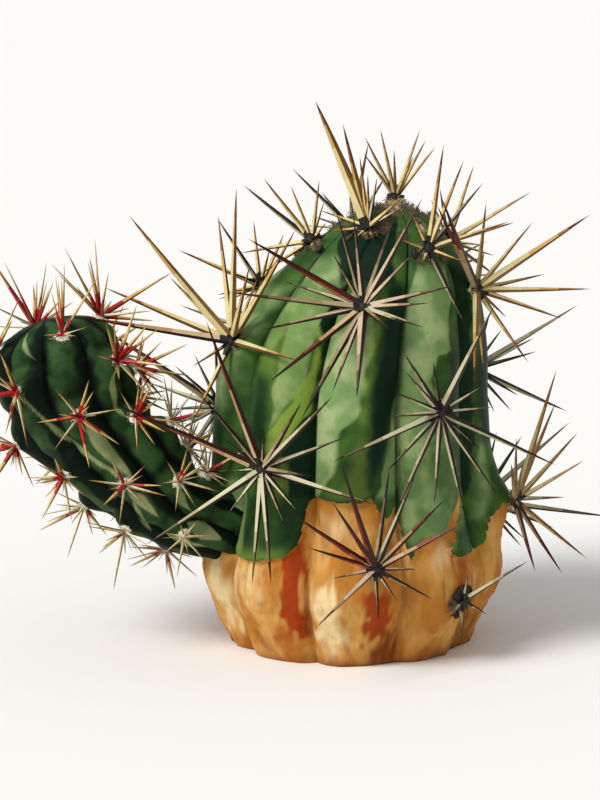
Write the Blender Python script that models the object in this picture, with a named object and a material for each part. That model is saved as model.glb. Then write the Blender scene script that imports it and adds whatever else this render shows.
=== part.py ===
"""Hedgehog cactus: one ribbed stem on a corky foot, one arm, and a star of spines on every areole.

Metres, +Z up. The origin is the middle of the flat cut at ground level. The front is -Y.
Azimuths run from the front towards +X. Every star of spines is a solid of its own, a hair
clear of the skin: a woolly pad with three-sided spines fused into it.
"""
import math
import random
from collections import namedtuple

import bmesh
import bpy
import numpy as np
from mathutils import Vector
from mathutils.bvhtree import BVHTree

MM = 0.001

# ---- stem ---------------------------------------------------------------------------------
STEM_HEIGHT = 131.5 * MM
STEM_OUTLINE = (          # radius on a rib's crest and height, from the cut to the tip
    (36.5, 0.0), (41.0, 10.0), (45.8, 22.0), (44.0, 34.0), (41.8, 46.0), (41.0, 58.0), (40.4, 72.0),
    (38.5, 88.0), (34.5, 99.0), (28.5, 109.0), (21.5, 117.5), (12.5, 125.8), (0.0, 131.5),
)
LEAN_START = 75.0 * MM    # below this height the stem stands upright
LEAN_AT_TIP = 13.0 * MM   # how far the tip has moved towards +X
RIBS = 9
FRONT_RIB = math.radians(2.0)
RIB_PITCH = math.tau / RIBS
FURROW_SHAPE = 0.75       # 1 is a sine-like rib, smaller is a broader crest with a tighter furrow
FURROW_DEPTH = (          # height, furrow depth as a share of the crest radius
    (0.0, 0.08), (12.0, 0.10), (28.0, 0.12), (45.0, 0.18), (75.0, 0.20), (100.0, 0.17),
    (115.0, 0.11), (126.0, 0.04), (131.5, 0.0),
)
SWELL_WIDTH = 7.0 * MM    # spread of the swelling under an areole
STEM_SIDES = RIBS * 8
STEM_RINGS = 20

# ---- arm ----------------------------------------------------------------------------------
ARM_AXIS = (              # centre line from inside the stem to the arm's tip
    (-34.0, -10.0, 36.5), (-40.8, -12.0, 39.0), (-51.6, -13.5, 43.2), (-63.3, -15.0, 54.0),
    (-73.5, -16.0, 64.5), (-83.4, -16.0, 78.4), (-89.5, -15.0, 99.8),
)
ARM_PROFILE = (           # share of the length, radius on a rib's crest
    (0.0, 11.6), (0.09, 11.8), (0.22, 12.5), (0.42, 16.0), (0.60, 17.4), (0.76, 19.2),
    (0.88, 18.6), (0.95, 14.0), (0.985, 7.5), (1.0, 0.0),
)
ARM_RIBS = 8
ARM_TWIST = math.radians(0.5) / MM      # how fast the ribs wind round the arm
ARM_FIRST_RIB = math.radians(9.0)       # turn of the first rib from the front, near the tip
ARM_FURROW = 0.17
ARM_SPLIT = 0.46                        # share of the length where the arm bends upwards
ARM_SIDES = ARM_RIBS * 4
ARM_RINGS = 12
ARM_AREOLE_PITCH = 23.0 * MM
ARM_FIRST_AREOLE = 16.0 * MM
ARM_LAST_AREOLE = 86.0 * MM
ARM_STAR_ROOM = 4.5 * MM
ARM_SWELL = 1.6 * MM
ARM_SWELL_WIDTH = 4.5 * MM

# ---- areoles and spines -------------------------------------------------------------------
CLEARANCE = 0.3 * MM      # touching pieces keep this gap
ARM_JOINT_GAP = 0.4 * MM  # the arm's foot, whose slanting cut is narrower than its growth
STEM_PAD = (2.3 * MM, 1.5 * MM)         # radius and half thickness of the woolly pad
ARM_PAD = (1.5 * MM, 0.8 * MM)
SPINE_ROOT = 0.38                       # a spine starts this share of the pad's radius from its middle
SPINE_SAMPLES = 16
SEED = 7

Areole = namedtuple("Areole", "name rib aside height swell chosen")
# Each star's rib, its turn away from the rib's crest in degrees, its height and the swelling
# under it in mm. A star may have chosen spines: clock angle from the stem's upward line,
# clockwise, lift from the skin in degrees, and length in mm. The rest follow the rule below.
AREOLES = (
    Areole("front_high", 0, -5, 106.0, 2.0, (
        (-75, 25, 39), (-105, 25, 40), (-86, 16, 24), (-42, 20, 18), (-27, 20, 29), (-14, 36, 28),
        (10, 20, 28), (26, 30, 37), (42, 30, 23), (75, 20, 30), (92, 30, 25), (106, 22, 23),
        (118, 28, 33), (134, 30, 27), (165, 14, 43), (180, 14, 32), (-172, 18, 45), (-154, 25, 42),
        (-120, 15, 31))),
    Areole("front_low", 0, 6, 32.0, 2.0, (
        (-60, 20, 35), (-72, 18, 25), (-42, 35, 33), (-28, 30, 40), (5, 15, 30), (18, 25, 32),
        (42, 25, 29), (62, 25, 30), (92, 20, 12), (122, 20, 19), (152, 20, 11), (-175, 20, 16),
        (-98, 20, 16), (-125, 25, 30))),
    Areole("right_front_top", 1, -4, 120.0, 1.0, (
        (2, 40, 31), (18, 47, 28), (45, 40, 25), (82, 30, 25), (175, 10, 29), (-38, 30, 13))),
    Areole("right_front_middle", 1, -5, 76.0, 2.0, (
        (-38, 20, 35), (-50, 20, 24), (-66, 20, 20), (-86, 22, 22), (-106, 10, 40), (-125, 16, 27),
        (-145, 14, 33), (-16, 15, 17), (22, 15, 17), (8, 36, 42), (56, 20, 14), (85, 22, 15),
        (118, 26, 37), (136, 14, 16), (152, 20, 29), (174, 18, 31), (-165, 20, 28))),
    Areole("right_front_foot", 1, 2, 20.0, 1.0, ((50, 20, 22),)),
    Areole("right_high", 2, -8, 107.0, 2.0, (
        (-45, 10, 43), (-34, 12, 34), (-5, 30, 27), (48, 40, 26), (70, 46, 41), (98, 34, 23),
        (116, 42, 35), (132, 30, 28), (-175, 20, 27), (-128, 10, 42), (-140, 8, 30))),
    Areole("right_low", 2, 0, 43.0, 5.5, (
        (20, 25, 41), (32, 27, 33), (-50, 8, 24), (5, 10, 19), (55, 40, 31), (75, 46, 28),
        (-125, 10, 30), (-162, 25, 26), (160, 36, 29))),
    Areole("right_back_high", 3, 0, 117.0, 1.0, ()),
    Areole("right_back_middle", 3, 0, 77.0, 2.0, ()),
    Areole("right_back_low", 3, 0, 36.0, 2.0, ()),
    Areole("back_right_high", 4, 0, 100.0, 2.0, ()),
    Areole("back_right_middle", 4, 0, 57.0, 2.0, ()),
    Areole("back_right_foot", 4, 0, 20.0, 1.0, ()),
    Areole("back_left_high", 5, 0, 119.0, 1.0, ()),
    Areole("back_left_middle", 5, 0, 80.0, 2.0, ()),
    Areole("back_left_low", 5, 0, 38.0, 2.0, ()),
    Areole("left_back_high", 6, 0, 103.0, 2.0, ()),
    Areole("left_back_middle", 6, 0, 66.0, 2.0, ()),
    Areole("left_back_foot", 6, 0, 22.0, 1.0, ()),
    Areole("left_top", 7, 0, 120.0, 1.0, (
        (-100, 30, 36), (-88, 44, 27), (-65, 45, 19), (15, 45, 19), (-140, 15, 25), (175, 8, 18))),
    Areole("left_high", 7, 8, 92.5, 2.0, (
        (-60, 40, 48), (-72, 30, 28), (-125, 45, 47), (-97, 35, 43), (-38, 10, 39), (-28, 10, 46),
        (34, 34, 34), (10, 12, 22), (22, 12, 43), (80, 6, 34), (178, 20, 28), (165, 10, 27))),
    Areole("left_front_top", 8, 14, 125.5, 1.0, (
        (-52, 45, 40), (-42, 50, 31), (-30, 56, 21), (-15, 62, 16), (12, 64, 16), (90, 50, 22))),
    Areole("left_front_middle", 8, 2, 59.5, 2.0, (
        (-15, 18, 48), (-35, 20, 29), (-65, 26, 47), (-56, 12, 15), (50, 5, 44), (40, 20, 33),
        (66, 10, 34), (98, 4, 40), (84, 28, 28), (120, 20, 21), (145, 10, 21), (160, 20, 35),
        (175, 15, 34), (-150, 20, 17), (-130, 26, 41))),
)
CROWN_SPINES = (          # the young star on the very tip stands nearly upright
    (0, 52, 16), (40, 58, 22), (75, 50, 19), (110, 62, 20), (150, 54, 17), (-160, 60, 19),
    (-110, 55, 17), (-65, 60, 20), (-30, 66, 21),
)
RADIALS = 11              # spines that a star has by rule, lying round it
RADIAL_LIFT = (12.0, 28.0)
RADIAL_LENGTH = (15.0, 30.0)
CENTRALS = 3              # and the stout ones that stand out of it
CENTRAL_LIFT = (48.0, 68.0)
CENTRAL_LENGTH = (28.0, 44.0)
FILL_GAP = 26.0           # a chosen star gets a short spine in every wider gap than twice this
FILL_LENGTH = (9.0, 16.0)
FOOT_HEIGHT = 25.0        # stars on the old foot have lost most of their spines
FOOT_SPINES = 5
YOUNG_HEIGHT = 100.0      # stars above this height have yet to grow to their full length
YOUNG_SHARE = 0.72
ARM_RADIALS = 7
ARM_CENTRALS = 2
ARM_RADIAL_LENGTH = (8.0, 13.0)
ARM_CENTRAL_LENGTH = (12.0, 18.0)
ARM_TIP_GAIN = 0.6        # the stars on the arm's tip are this share longer

SPINE_THICKNESS = (0.48, 0.021)         # radius at the root in mm: fixed part, share of length
ARM_SPINE_THICKNESS = (0.34, 0.016)


# ---- surfaces -----------------------------------------------------------------------------
def smooth_line(points, steps=12):
    """A Catmull-Rom curve through the points."""
    knots = np.array(points, float)
    ends = (2 * knots[0] - knots[1], 2 * knots[-1] - knots[-2])
    knots = np.vstack([ends[0], knots, ends[1]])
    curve = []
    for i in range(1, len(knots) - 2):
        a, b, c, d = knots[i - 1:i + 3]
        for t in np.arange(steps) / steps:
            curve.append(0.5 * (2 * b + (c - a) * t + (2 * a - 5 * b + 4 * c - d) * t * t
                                + (3 * b - a - 3 * c + d) * t ** 3))
    curve.append(knots[-2])
    return np.array(curve)


OUTLINE_CURVE = smooth_line(STEM_OUTLINE) * MM
DEPTH_CURVE = np.array(FURROW_DEPTH) * (MM, 1.0)
ARM_CURVE = smooth_line(ARM_AXIS) * MM
ARM_STEPS = np.concatenate([[0.0], np.cumsum(np.linalg.norm(np.diff(ARM_CURVE, axis=0), axis=1))])
ARM_LENGTH = ARM_STEPS[-1]
ARM_RADII = smooth_line(ARM_PROFILE, 4)


def furrow(turn, ribs):
    """0 on a rib's crest and 1 at the bottom of the furrow, for an angle in turns of the ribs."""
    across = 2.0 * abs((turn * ribs + 0.5) % 1.0 - 0.5)
    return 1.0 - (1.0 - across * across) ** FURROW_SHAPE


def lean(height):
    return LEAN_AT_TIP * max(0.0, (height - LEAN_START) / (STEM_HEIGHT - LEAN_START)) ** 1.5


def areole_azimuth(areole):
    return FRONT_RIB + areole.rib * RIB_PITCH + math.radians(areole.aside)


def stem_point(azimuth, height):
    radius = float(np.interp(height, OUTLINE_CURVE[:, 1], OUTLINE_CURVE[:, 0]))
    depth = float(np.interp(height, DEPTH_CURVE[:, 0], DEPTH_CURVE[:, 1]))
    crest = radius
    radius *= 1.0 - depth * furrow((azimuth - FRONT_RIB) / math.tau, RIBS)
    for areole in AREOLES:
        turn = (azimuth - areole_azimuth(areole) + math.pi) % math.tau - math.pi
        away = (turn * crest) ** 2 + (height - areole.height * MM) ** 2
        radius += areole.swell * MM * math.exp(-away / (2 * SWELL_WIDTH ** 2))
    x = lean(height) + radius * math.sin(azimuth)
    return Vector((x, -radius * math.cos(azimuth), height))


def arm_frame(along):
    """Centre, tangent, front and side of the arm at a distance along its axis."""
    step = 1.5 * MM
    centre = Vector([float(np.interp(along, ARM_STEPS, ARM_CURVE[:, k])) for k in range(3)])
    ahead = [float(np.interp(min(along + step, ARM_LENGTH), ARM_STEPS, ARM_CURVE[:, k])) for k in range(3)]
    behind = [float(np.interp(max(along - step, 0.0), ARM_STEPS, ARM_CURVE[:, k])) for k in range(3)]
    tangent = (Vector(ahead) - Vector(behind)).normalized()
    front = Vector((0.0, -1.0, 0.0))
    front = (front - tangent * front.dot(tangent)).normalized()
    return centre, tangent, front, tangent.cross(front)


def arm_rib_angle(rib, along):
    return ARM_FIRST_RIB + rib * math.tau / ARM_RIBS + ARM_TWIST * (along - 0.75 * ARM_LENGTH)


def arm_areoles():
    """Rib and distance along the axis of every areole on the arm, every other rib half a step on."""
    places = []
    for rib in range(ARM_RIBS):
        along = ARM_FIRST_AREOLE + (rib % 2) * ARM_AREOLE_PITCH / 2
        while along < ARM_LAST_AREOLE:
            places.append((rib, along))
            along += ARM_AREOLE_PITCH
    return places


ARM_AREOLES = arm_areoles()


def arm_point(angle, along):
    centre, tangent, front, side = arm_frame(along)
    share = along / ARM_LENGTH
    crest = float(np.interp(share, ARM_RADII[:, 0], ARM_RADII[:, 1])) * MM
    turn = (angle - arm_rib_angle(0, along)) / math.tau
    radius = crest * (1.0 - ARM_FURROW * furrow(turn, ARM_RIBS))
    for rib, place in ARM_AREOLES:
        around = (angle - arm_rib_angle(rib, place) + math.pi) % math.tau - math.pi
        away = (around * crest) ** 2 + (along - place) ** 2
        radius += ARM_SWELL * min(1.0, crest / (12 * MM)) * math.exp(-away / (2 * ARM_SWELL_WIDTH ** 2))
    return centre + (front * math.cos(angle) + side * math.sin(angle)) * radius


def frame_on(surface, across, along, step_across, step_along):
    """Point, side, up and normal of a surface, from its own neighbouring points."""
    point = surface(across, along)
    up = surface(across, along + step_along) - surface(across, along - step_along)
    side = surface(across + step_across, along) - surface(across - step_across, along)
    normal = side.cross(up).normalized()
    up = (up - normal * up.dot(normal)).normalized()
    return point, up.cross(normal), up, normal


# ---- meshes -------------------------------------------------------------------------------
def material(name, colour, roughness):
    made = bpy.data.materials.new(name)
    made.use_nodes = True
    shader = made.node_tree.nodes["Principled BSDF"]
    shader.inputs["Base Color"].default_value = (*colour, 1.0)
    shader.inputs["Roughness"].default_value = roughness
    made.diffuse_color = (*colour, 1.0)
    return made


def new_object(name, vertices, faces, finish):
    mesh = bpy.data.meshes.new(name)
    mesh.from_pydata([tuple(v) for v in vertices], [], faces)
    work = bmesh.new()
    work.from_mesh(mesh)
    bmesh.ops.recalc_face_normals(work, faces=work.faces)
    bmesh.ops.triangulate(work, faces=[f for f in work.faces if len(f.verts) > 3])
    work.to_mesh(mesh)
    work.free()
    mesh.materials.append(finish)
    made = bpy.data.objects.new(name, mesh)
    bpy.context.scene.collection.objects.link(made)
    return made


def ring_body(name, rings, first_pole, last_pole, finish):
    """A closed body from rings of points, each end closed by a fan round its pole."""
    count = len(rings[0])
    vertices = [point for ring in rings for point in ring] + [first_pole, last_pole]
    bottom, top = len(vertices) - 2, len(vertices) - 1
    faces = []
    for j in range(count):
        k = (j + 1) % count
        faces.append((bottom, k, j))
        for i in range(len(rings) - 1):
            a, b = i * count, (i + 1) * count
            faces.append((a + j, a + k, b + k, b + j))
        faces.append(((len(rings) - 1) * count + j, (len(rings) - 1) * count + k, top))
    return new_object(name, vertices, faces, finish)


def make_stem(name, finish):
    rings = []
    for i in range(STEM_RINGS):
        share = i / STEM_RINGS
        height = STEM_HEIGHT * (1.0 - (1.0 - share) ** 1.35)
        rings.append([stem_point(FRONT_RIB + math.tau * j / STEM_SIDES, height) for j in range(STEM_SIDES)])
    tip = Vector((lean(STEM_HEIGHT), 0.0, STEM_HEIGHT))
    return ring_body(name, rings, Vector((0.0, 0.0, 0.0)), tip, finish)


def make_arm(name, start, end, finish):
    """The arm between two distances along its axis, its ribs winding round it."""
    to_tip = end >= ARM_LENGTH
    rings = []
    for i in range(ARM_RINGS + (0 if to_tip else 1)):
        share = i / ARM_RINGS
        if to_tip:
            share = 1.0 - (1.0 - share) ** 1.4
        along = start + (end - start) * share
        twist = arm_rib_angle(0, along)
        rings.append([arm_point(twist + math.tau * j / ARM_SIDES, along) for j in range(ARM_SIDES)])
    tip = arm_frame(end)[0]
    return ring_body(name, rings, arm_frame(start)[0], tip, finish)


def apply_modifiers(target):
    """Replaces an object's mesh by its evaluated one."""
    graph = bpy.context.evaluated_depsgraph_get()
    result = bpy.data.meshes.new_from_object(target.evaluated_get(graph))
    old = target.data
    target.modifiers.clear()
    target.data = result
    bpy.data.meshes.remove(old)


def cut_clear(target, cutter, gap):
    """Cuts the cutter's own shape, grown by the gap, out of the target."""
    grown = cutter.copy()
    grown.data = cutter.data.copy()
    bpy.context.scene.collection.objects.link(grown)
    for vertex in grown.data.vertices:
        vertex.co += Vector(vertex.normal) * gap
    cut = target.modifiers.new("clear", "BOOLEAN")
    cut.operation = "DIFFERENCE"
    cut.object = grown
    apply_modifiers(target)
    bpy.data.objects.remove(grown)


# ---- stars of spines ----------------------------------------------------------------------
def ruled_star(draw, radials, radial_length, centrals, central_length, grown):
    """Radial spines laid round the star and centrals standing out of it, as clock, lift, length."""
    spines = []
    first = draw.uniform(0.0, 360.0)
    for i in range(centrals):
        spines.append((first + 25.0 + 360.0 * i / centrals + draw.uniform(-18.0, 18.0),
                       draw.uniform(*CENTRAL_LIFT), grown * draw.uniform(*central_length)))
    for i in range(radials):
        spines.append((first + 360.0 * i / radials + draw.uniform(-8.0, 8.0),
                       draw.uniform(*RADIAL_LIFT), grown * draw.uniform(*radial_length)))
    return spines


def filled_star(draw, chosen):
    """The chosen spines, with short ones in the widest gaps between their clock angles."""
    spines = list(chosen)
    clocks = sorted(clock % 360.0 for clock, lift, length in chosen)
    for i, clock in enumerate(clocks):
        gap = (clocks[(i + 1) % len(clocks)] - clock) % 360.0 or 360.0
        extra = min(4, int(gap / (2.0 * FILL_GAP)))
        for j in range(extra):
            spines.append((clock + gap * (j + 1) / (extra + 1) + draw.uniform(-5.0, 5.0),
                           draw.uniform(*RADIAL_LIFT), draw.uniform(*FILL_LENGTH)))
    return spines


def spine_axis(frame, pad, clock, lift, length):
    """Root and tip of a spine that leaves the middle of its pad."""
    point, side, up, normal = frame
    middle = point + normal * (CLEARANCE + pad[1])
    turn = math.radians(clock)
    level = side * math.sin(turn) + up * math.cos(turn)
    rise = math.radians(lift)
    direction = level * math.cos(rise) + normal * math.sin(rise)
    return middle + direction * (SPINE_ROOT * pad[0]), middle + direction * length * MM


def sampled(root, tip, radius):
    """Points along a spine with the spine's radius at each."""
    shares = np.linspace(0.0, 1.0, SPINE_SAMPLES)
    points = np.array(root)[None, :] * (1 - shares)[:, None] + np.array(tip)[None, :] * shares[:, None]
    return points, radius * (1.0 - shares)


def is_free(points, radii, limbs, others):
    """True if a spine keeps clear of the skin, of the ground and of every other star."""
    if np.min(points[:, 2] - radii) < CLEARANCE:
        return False
    for point, radius in zip(points, radii):
        for tree in limbs:
            near, normal, index, distance = tree.find_nearest(Vector(point))
            outside = (Vector(point) - near).dot(normal) > 0.0
            if distance < radius + CLEARANCE or not outside:
                return False
    for other_points, other_radii in others:
        apart = np.linalg.norm(points[:, None, :] - other_points[None, :, :], axis=2)
        step = np.linalg.norm(points[1] - points[0]) + np.linalg.norm(other_points[1] - other_points[0])
        reach = radii[:, None] + other_radii[None, :] + CLEARANCE
        if np.any(apart < reach + 0.6 * step):
            if closest_gap(points, radii, other_points, other_radii) < CLEARANCE:
                return False
    return True


def closest_gap(points, radii, other_points, other_radii, steps=90):
    """The narrowest gap between two spines, sampled finely."""
    shares = np.linspace(0.0, 1.0, steps)[:, None]
    first = points[0] * (1 - shares) + points[-1] * shares
    second = other_points[0] * (1 - shares) + other_points[-1] * shares
    apart = np.linalg.norm(first[:, None, :] - second[None, :, :], axis=2)
    thick = radii[0] * (1 - shares) + (other_radii[0] * (1 - shares)).T
    step = max(np.linalg.norm(first[1] - first[0]), np.linalg.norm(second[1] - second[0]))
    return float(np.min(apart - thick)) - 0.35 * step


LIFT_TRIALS = (0.0, 3.0, -3.0, 6.0, -6.0, 10.0, 15.0)
LENGTH_TRIALS = (1.0, 0.85, 0.7)


def settle_star(frame, pad, thickness, spines, limbs, others):
    """The star's spines as root, tip and radius, each moved a little or shortened until it is free."""
    placed = []
    for clock, lift, length in spines:
        radius = (thickness[0] + thickness[1] * length) * MM
        found = None
        for share in LENGTH_TRIALS:
            for change in LIFT_TRIALS:
                root, tip = spine_axis(frame, pad, clock, lift + change, length * share)
                points, radii = sampled(root, tip, radius)
                if found is None and is_free(points, radii, limbs, others):
                    found = (root, tip, radius)
        if found:
            placed.append(found)
    return placed


def pad_object(name, frame, pad, finish):
    """A woolly pad: a six-sided lens lying a hair above the skin."""
    point, side, up, normal = frame
    middle = point + normal * (CLEARANCE + pad[1])
    levels = ((-1.0, 0.55), (-0.1, 1.0), (1.0, 0.6))
    rings = []
    for level, width in levels:
        ring = []
        for j in range(6):
            turn = math.tau * j / 6
            out = side * math.cos(turn) + up * math.sin(turn)
            ring.append(middle + normal * (pad[1] * level) + out * (pad[0] * width))
        rings.append(ring)
    return ring_body(name, rings, middle - normal * pad[1], middle + normal * pad[1] * 1.05, finish)


def spine_object(name, root, tip, radius, turn, finish):
    """A three-sided spine, tapering from its root to its point."""
    axis = (tip - root).normalized()
    across = axis.orthogonal().normalized()
    around = axis.cross(across)
    corners = [root + (across * math.cos(turn + math.tau * j / 3)
                       + around * math.sin(turn + math.tau * j / 3)) * radius for j in range(3)]
    return new_object(name, corners + [tip], [(0, 1, 2), (0, 3, 1), (1, 3, 2), (2, 3, 0)], finish)


def make_star(name, frame, pad, spines, draw, finish):
    """Fuses a pad and its spines into one body."""
    star = pad_object(name, frame, pad, finish)
    tools = bpy.data.collections.new(name + "_spines")
    bpy.context.scene.collection.children.link(tools)
    for i, (root, tip, radius) in enumerate(spines):
        piece = spine_object(f"{name}_{i}", root, tip, radius, draw.uniform(0.0, math.tau), finish)
        bpy.context.scene.collection.objects.unlink(piece)
        tools.objects.link(piece)
    fuse = star.modifiers.new("fuse", "BOOLEAN")
    fuse.operation = "UNION"
    fuse.operand_type = "COLLECTION"
    fuse.collection = tools
    apply_modifiers(star)
    for piece in list(tools.objects):
        bpy.data.objects.remove(piece)
    bpy.data.collections.remove(tools)
    return star


def seated(frame, tree):
    """The frame with its point moved along the normal onto the faceted skin."""
    point, side, up, normal = frame
    found = tree.ray_cast(point + normal * 5 * MM, -normal, 10 * MM)[0]
    return (found or point), side, up, normal


def has_room(frame, tree):
    """False where the arm's skin lies inside the stem or too close to it for a star."""
    above = frame[0] + frame[3] * ARM_STAR_ROOM
    near, normal, index, distance = tree.find_nearest(above)
    return distance > ARM_STAR_ROOM and (above - near).dot(normal) > 0.0


def limb_tree(limb):
    mesh = limb.data
    mesh.calc_loop_triangles()
    corners = [vertex.co.copy() for vertex in mesh.vertices]
    return BVHTree.FromPolygons(corners, [tuple(t.vertices) for t in mesh.loop_triangles])


def tip_frame():
    """The frame of the star that stands on the very tip, looking straight up."""
    up = Vector((0.0, 1.0, 0.0))
    normal = Vector((0.0, 0.0, 1.0))
    return Vector((lean(STEM_HEIGHT), 0.0, STEM_HEIGHT)), up.cross(normal), up, normal


def build():
    for old in list(bpy.data.objects):
        bpy.data.objects.remove(old)
    skin = material("cactus_skin", (0.10, 0.20, 0.08), 0.55)
    spine = material("cactus_spine", (0.62, 0.50, 0.28), 0.50)

    stem = make_stem("main_stem", skin)
    split = ARM_LENGTH * ARM_SPLIT
    arm_lower = make_arm("arm_lower", 0.0, split, skin)
    cut_clear(arm_lower, stem, ARM_JOINT_GAP)
    arm_upper = make_arm("arm_upper", split + CLEARANCE, ARM_LENGTH, skin)
    limbs = [limb_tree(limb) for limb in (stem, arm_lower, arm_upper)]

    stars = []
    for areole in AREOLES:
        draw = random.Random(f"{SEED}-{areole.name}")
        frame = frame_on(stem_point, areole_azimuth(areole), areole.height * MM, 0.04, 1.5 * MM)
        if areole.chosen:
            spines = filled_star(draw, areole.chosen)
        else:
            grown = YOUNG_SHARE if areole.height > YOUNG_HEIGHT else 1.0
            spines = ruled_star(draw, RADIALS, RADIAL_LENGTH, CENTRALS, CENTRAL_LENGTH, grown)
        if areole.height < FOOT_HEIGHT:
            spines = spines[:FOOT_SPINES]
        frame = seated(frame, limbs[0])
        stars.append(("spines_" + areole.name, frame, STEM_PAD, SPINE_THICKNESS, spines, draw))
    draw = random.Random(f"{SEED}-crown")
    stars.append(("spines_crown", tip_frame(), STEM_PAD, SPINE_THICKNESS, CROWN_SPINES, draw))
    for rib, along in ARM_AREOLES:
        draw = random.Random(f"{SEED}-arm-{rib}-{along:.4f}")
        frame = frame_on(arm_point, arm_rib_angle(rib, along), along, 0.06, 1.0 * MM)
        if not has_room(frame, limbs[0]):
            continue
        frame = seated(frame, limbs[1 if along < split else 2])
        grown = 1.0 + ARM_TIP_GAIN * (along / ARM_LENGTH) ** 3
        spines = ruled_star(draw, ARM_RADIALS, ARM_RADIAL_LENGTH, ARM_CENTRALS, ARM_CENTRAL_LENGTH, grown)
        name = f"spines_arm_{rib}_{round(along / MM):02d}"
        stars.append((name, frame, ARM_PAD, ARM_SPINE_THICKNESS, spines, draw))

    settled = []
    pads = []
    for name, frame, pad, thickness, spines, draw in stars:
        middle = frame[0] + frame[3] * (CLEARANCE + pad[1])
        disc = np.array([middle] * SPINE_SAMPLES) + 1e-9 * np.arange(SPINE_SAMPLES)[:, None]
        pads.append((disc, np.full(SPINE_SAMPLES, pad[0])))
    for i, (name, frame, pad, thickness, spines, draw) in enumerate(stars):
        others = [entry for j, entry in enumerate(pads) if j != i]
        others += [sampled(*placed) for star in settled for placed in star]
        settled.append(settle_star(frame, pad, thickness, spines, limbs, others))
    for (name, frame, pad, thickness, spines, draw), placed in zip(stars, settled):
        make_star(name, frame, pad, placed, draw, spine)


build()
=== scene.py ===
"""A hedgehog cactus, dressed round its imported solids.

One ribbed stem on a corky foot, one arm, and a star of spines on every areole. Metres, +Z up,
the front is -Y. Azimuths run from the front towards +X.
"""
import math
import random
from collections import namedtuple

import bpy
import numpy as np
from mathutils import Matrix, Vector, noise
from mathutils.bvhtree import BVHTree


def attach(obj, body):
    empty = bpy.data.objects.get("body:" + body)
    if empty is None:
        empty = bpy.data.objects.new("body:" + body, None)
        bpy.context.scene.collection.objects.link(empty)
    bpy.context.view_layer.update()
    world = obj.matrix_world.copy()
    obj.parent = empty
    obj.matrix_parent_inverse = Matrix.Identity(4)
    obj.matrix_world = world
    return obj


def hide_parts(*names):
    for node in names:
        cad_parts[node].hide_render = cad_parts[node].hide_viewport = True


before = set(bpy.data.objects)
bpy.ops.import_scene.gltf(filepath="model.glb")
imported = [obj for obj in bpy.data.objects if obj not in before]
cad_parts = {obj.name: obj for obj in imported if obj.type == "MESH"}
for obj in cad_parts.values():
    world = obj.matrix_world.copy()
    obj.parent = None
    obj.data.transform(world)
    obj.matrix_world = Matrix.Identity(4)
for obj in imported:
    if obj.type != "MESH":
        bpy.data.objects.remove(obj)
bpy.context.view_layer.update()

MM = 0.001

# ---- the plant's own measures, the same as its solids have --------------------------------
STEM_HEIGHT = 131.5 * MM
STEM_OUTLINE = (          # radius on a rib's crest and height, from the cut to the tip
    (36.5, 0.0), (41.0, 10.0), (45.8, 22.0), (44.0, 34.0), (41.8, 46.0), (41.0, 58.0), (40.4, 72.0),
    (38.5, 88.0), (34.5, 99.0), (28.5, 109.0), (21.5, 117.5), (12.5, 125.8), (0.0, 131.5),
)
LEAN_START = 75.0 * MM    # over this height the stem leans to the right
LEAN_AT_TIP = 13.0 * MM
RIBS = 9
FRONT_RIB = math.radians(2.0)
RIB_PITCH = math.tau / RIBS
FURROW_SHAPE = 0.75       # the lower, the rounder the ribs and the sharper the furrows
FURROW_DEPTH = (          # height, furrow depth as a share of the crest radius
    (0.0, 0.08), (12.0, 0.10), (28.0, 0.12), (45.0, 0.18), (75.0, 0.20), (100.0, 0.17),
    (115.0, 0.11), (126.0, 0.04), (131.5, 0.0),
)
SWELL_WIDTH = 7.0 * MM    # of the rib's swelling under each star

ARM_AXIS = (              # points of the arm's middle line in mm, from inside the stem to the tip
    (-34.0, -10.0, 36.5), (-40.8, -12.0, 39.0), (-51.6, -13.5, 43.2), (-63.3, -15.0, 54.0),
    (-73.5, -16.0, 64.5), (-83.4, -16.0, 78.4), (-89.5, -15.0, 99.8),
)
ARM_PROFILE = (           # share of the length, radius on a rib's crest
    (0.0, 11.6), (0.09, 11.8), (0.22, 12.5), (0.42, 16.0), (0.60, 17.4), (0.76, 19.2),
    (0.88, 18.6), (0.95, 14.0), (0.985, 7.5), (1.0, 0.0),
)
ARM_RIBS = 8
ARM_TWIST = math.radians(0.5) / MM
ARM_FIRST_RIB = math.radians(9.0)        # angle of rib 0 from the front at ARM_STRAIGHT of the length
ARM_STRAIGHT = 0.75
ARM_FURROW = 0.17         # furrow depth as a share of the crest radius
ARM_SPLIT = 0.46          # share of the length where the lower half ends
ARM_AREOLE_PITCH = 23.0 * MM
ARM_FIRST_AREOLE = 16.0 * MM
ARM_LAST_AREOLE = 86.0 * MM
ARM_STAR_ROOM = 4.5 * MM  # a star nearer the stem than this isn't grown
ARM_SWELL = 1.6 * MM
ARM_SWELL_WIDTH = 4.5 * MM

CLEARANCE = 0.3 * MM      # the least gap between two solids
STEM_PAD = (2.3 * MM, 1.5 * MM)         # radius and half thickness of the woolly pad
ARM_PAD = (1.5 * MM, 0.8 * MM)
SPINE_ROOT = 0.38         # share of the pad's radius from its middle to a spine's root
SPINE_SAMPLES = 16
STEM_STEP = (0.04, 1.5 * MM)            # to the neighbours that give the skin's slope at a star
ARM_STEP = (0.06, 1.0 * MM)
SEED = 7

Areole = namedtuple("Areole", "name rib aside height swell chosen")
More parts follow.
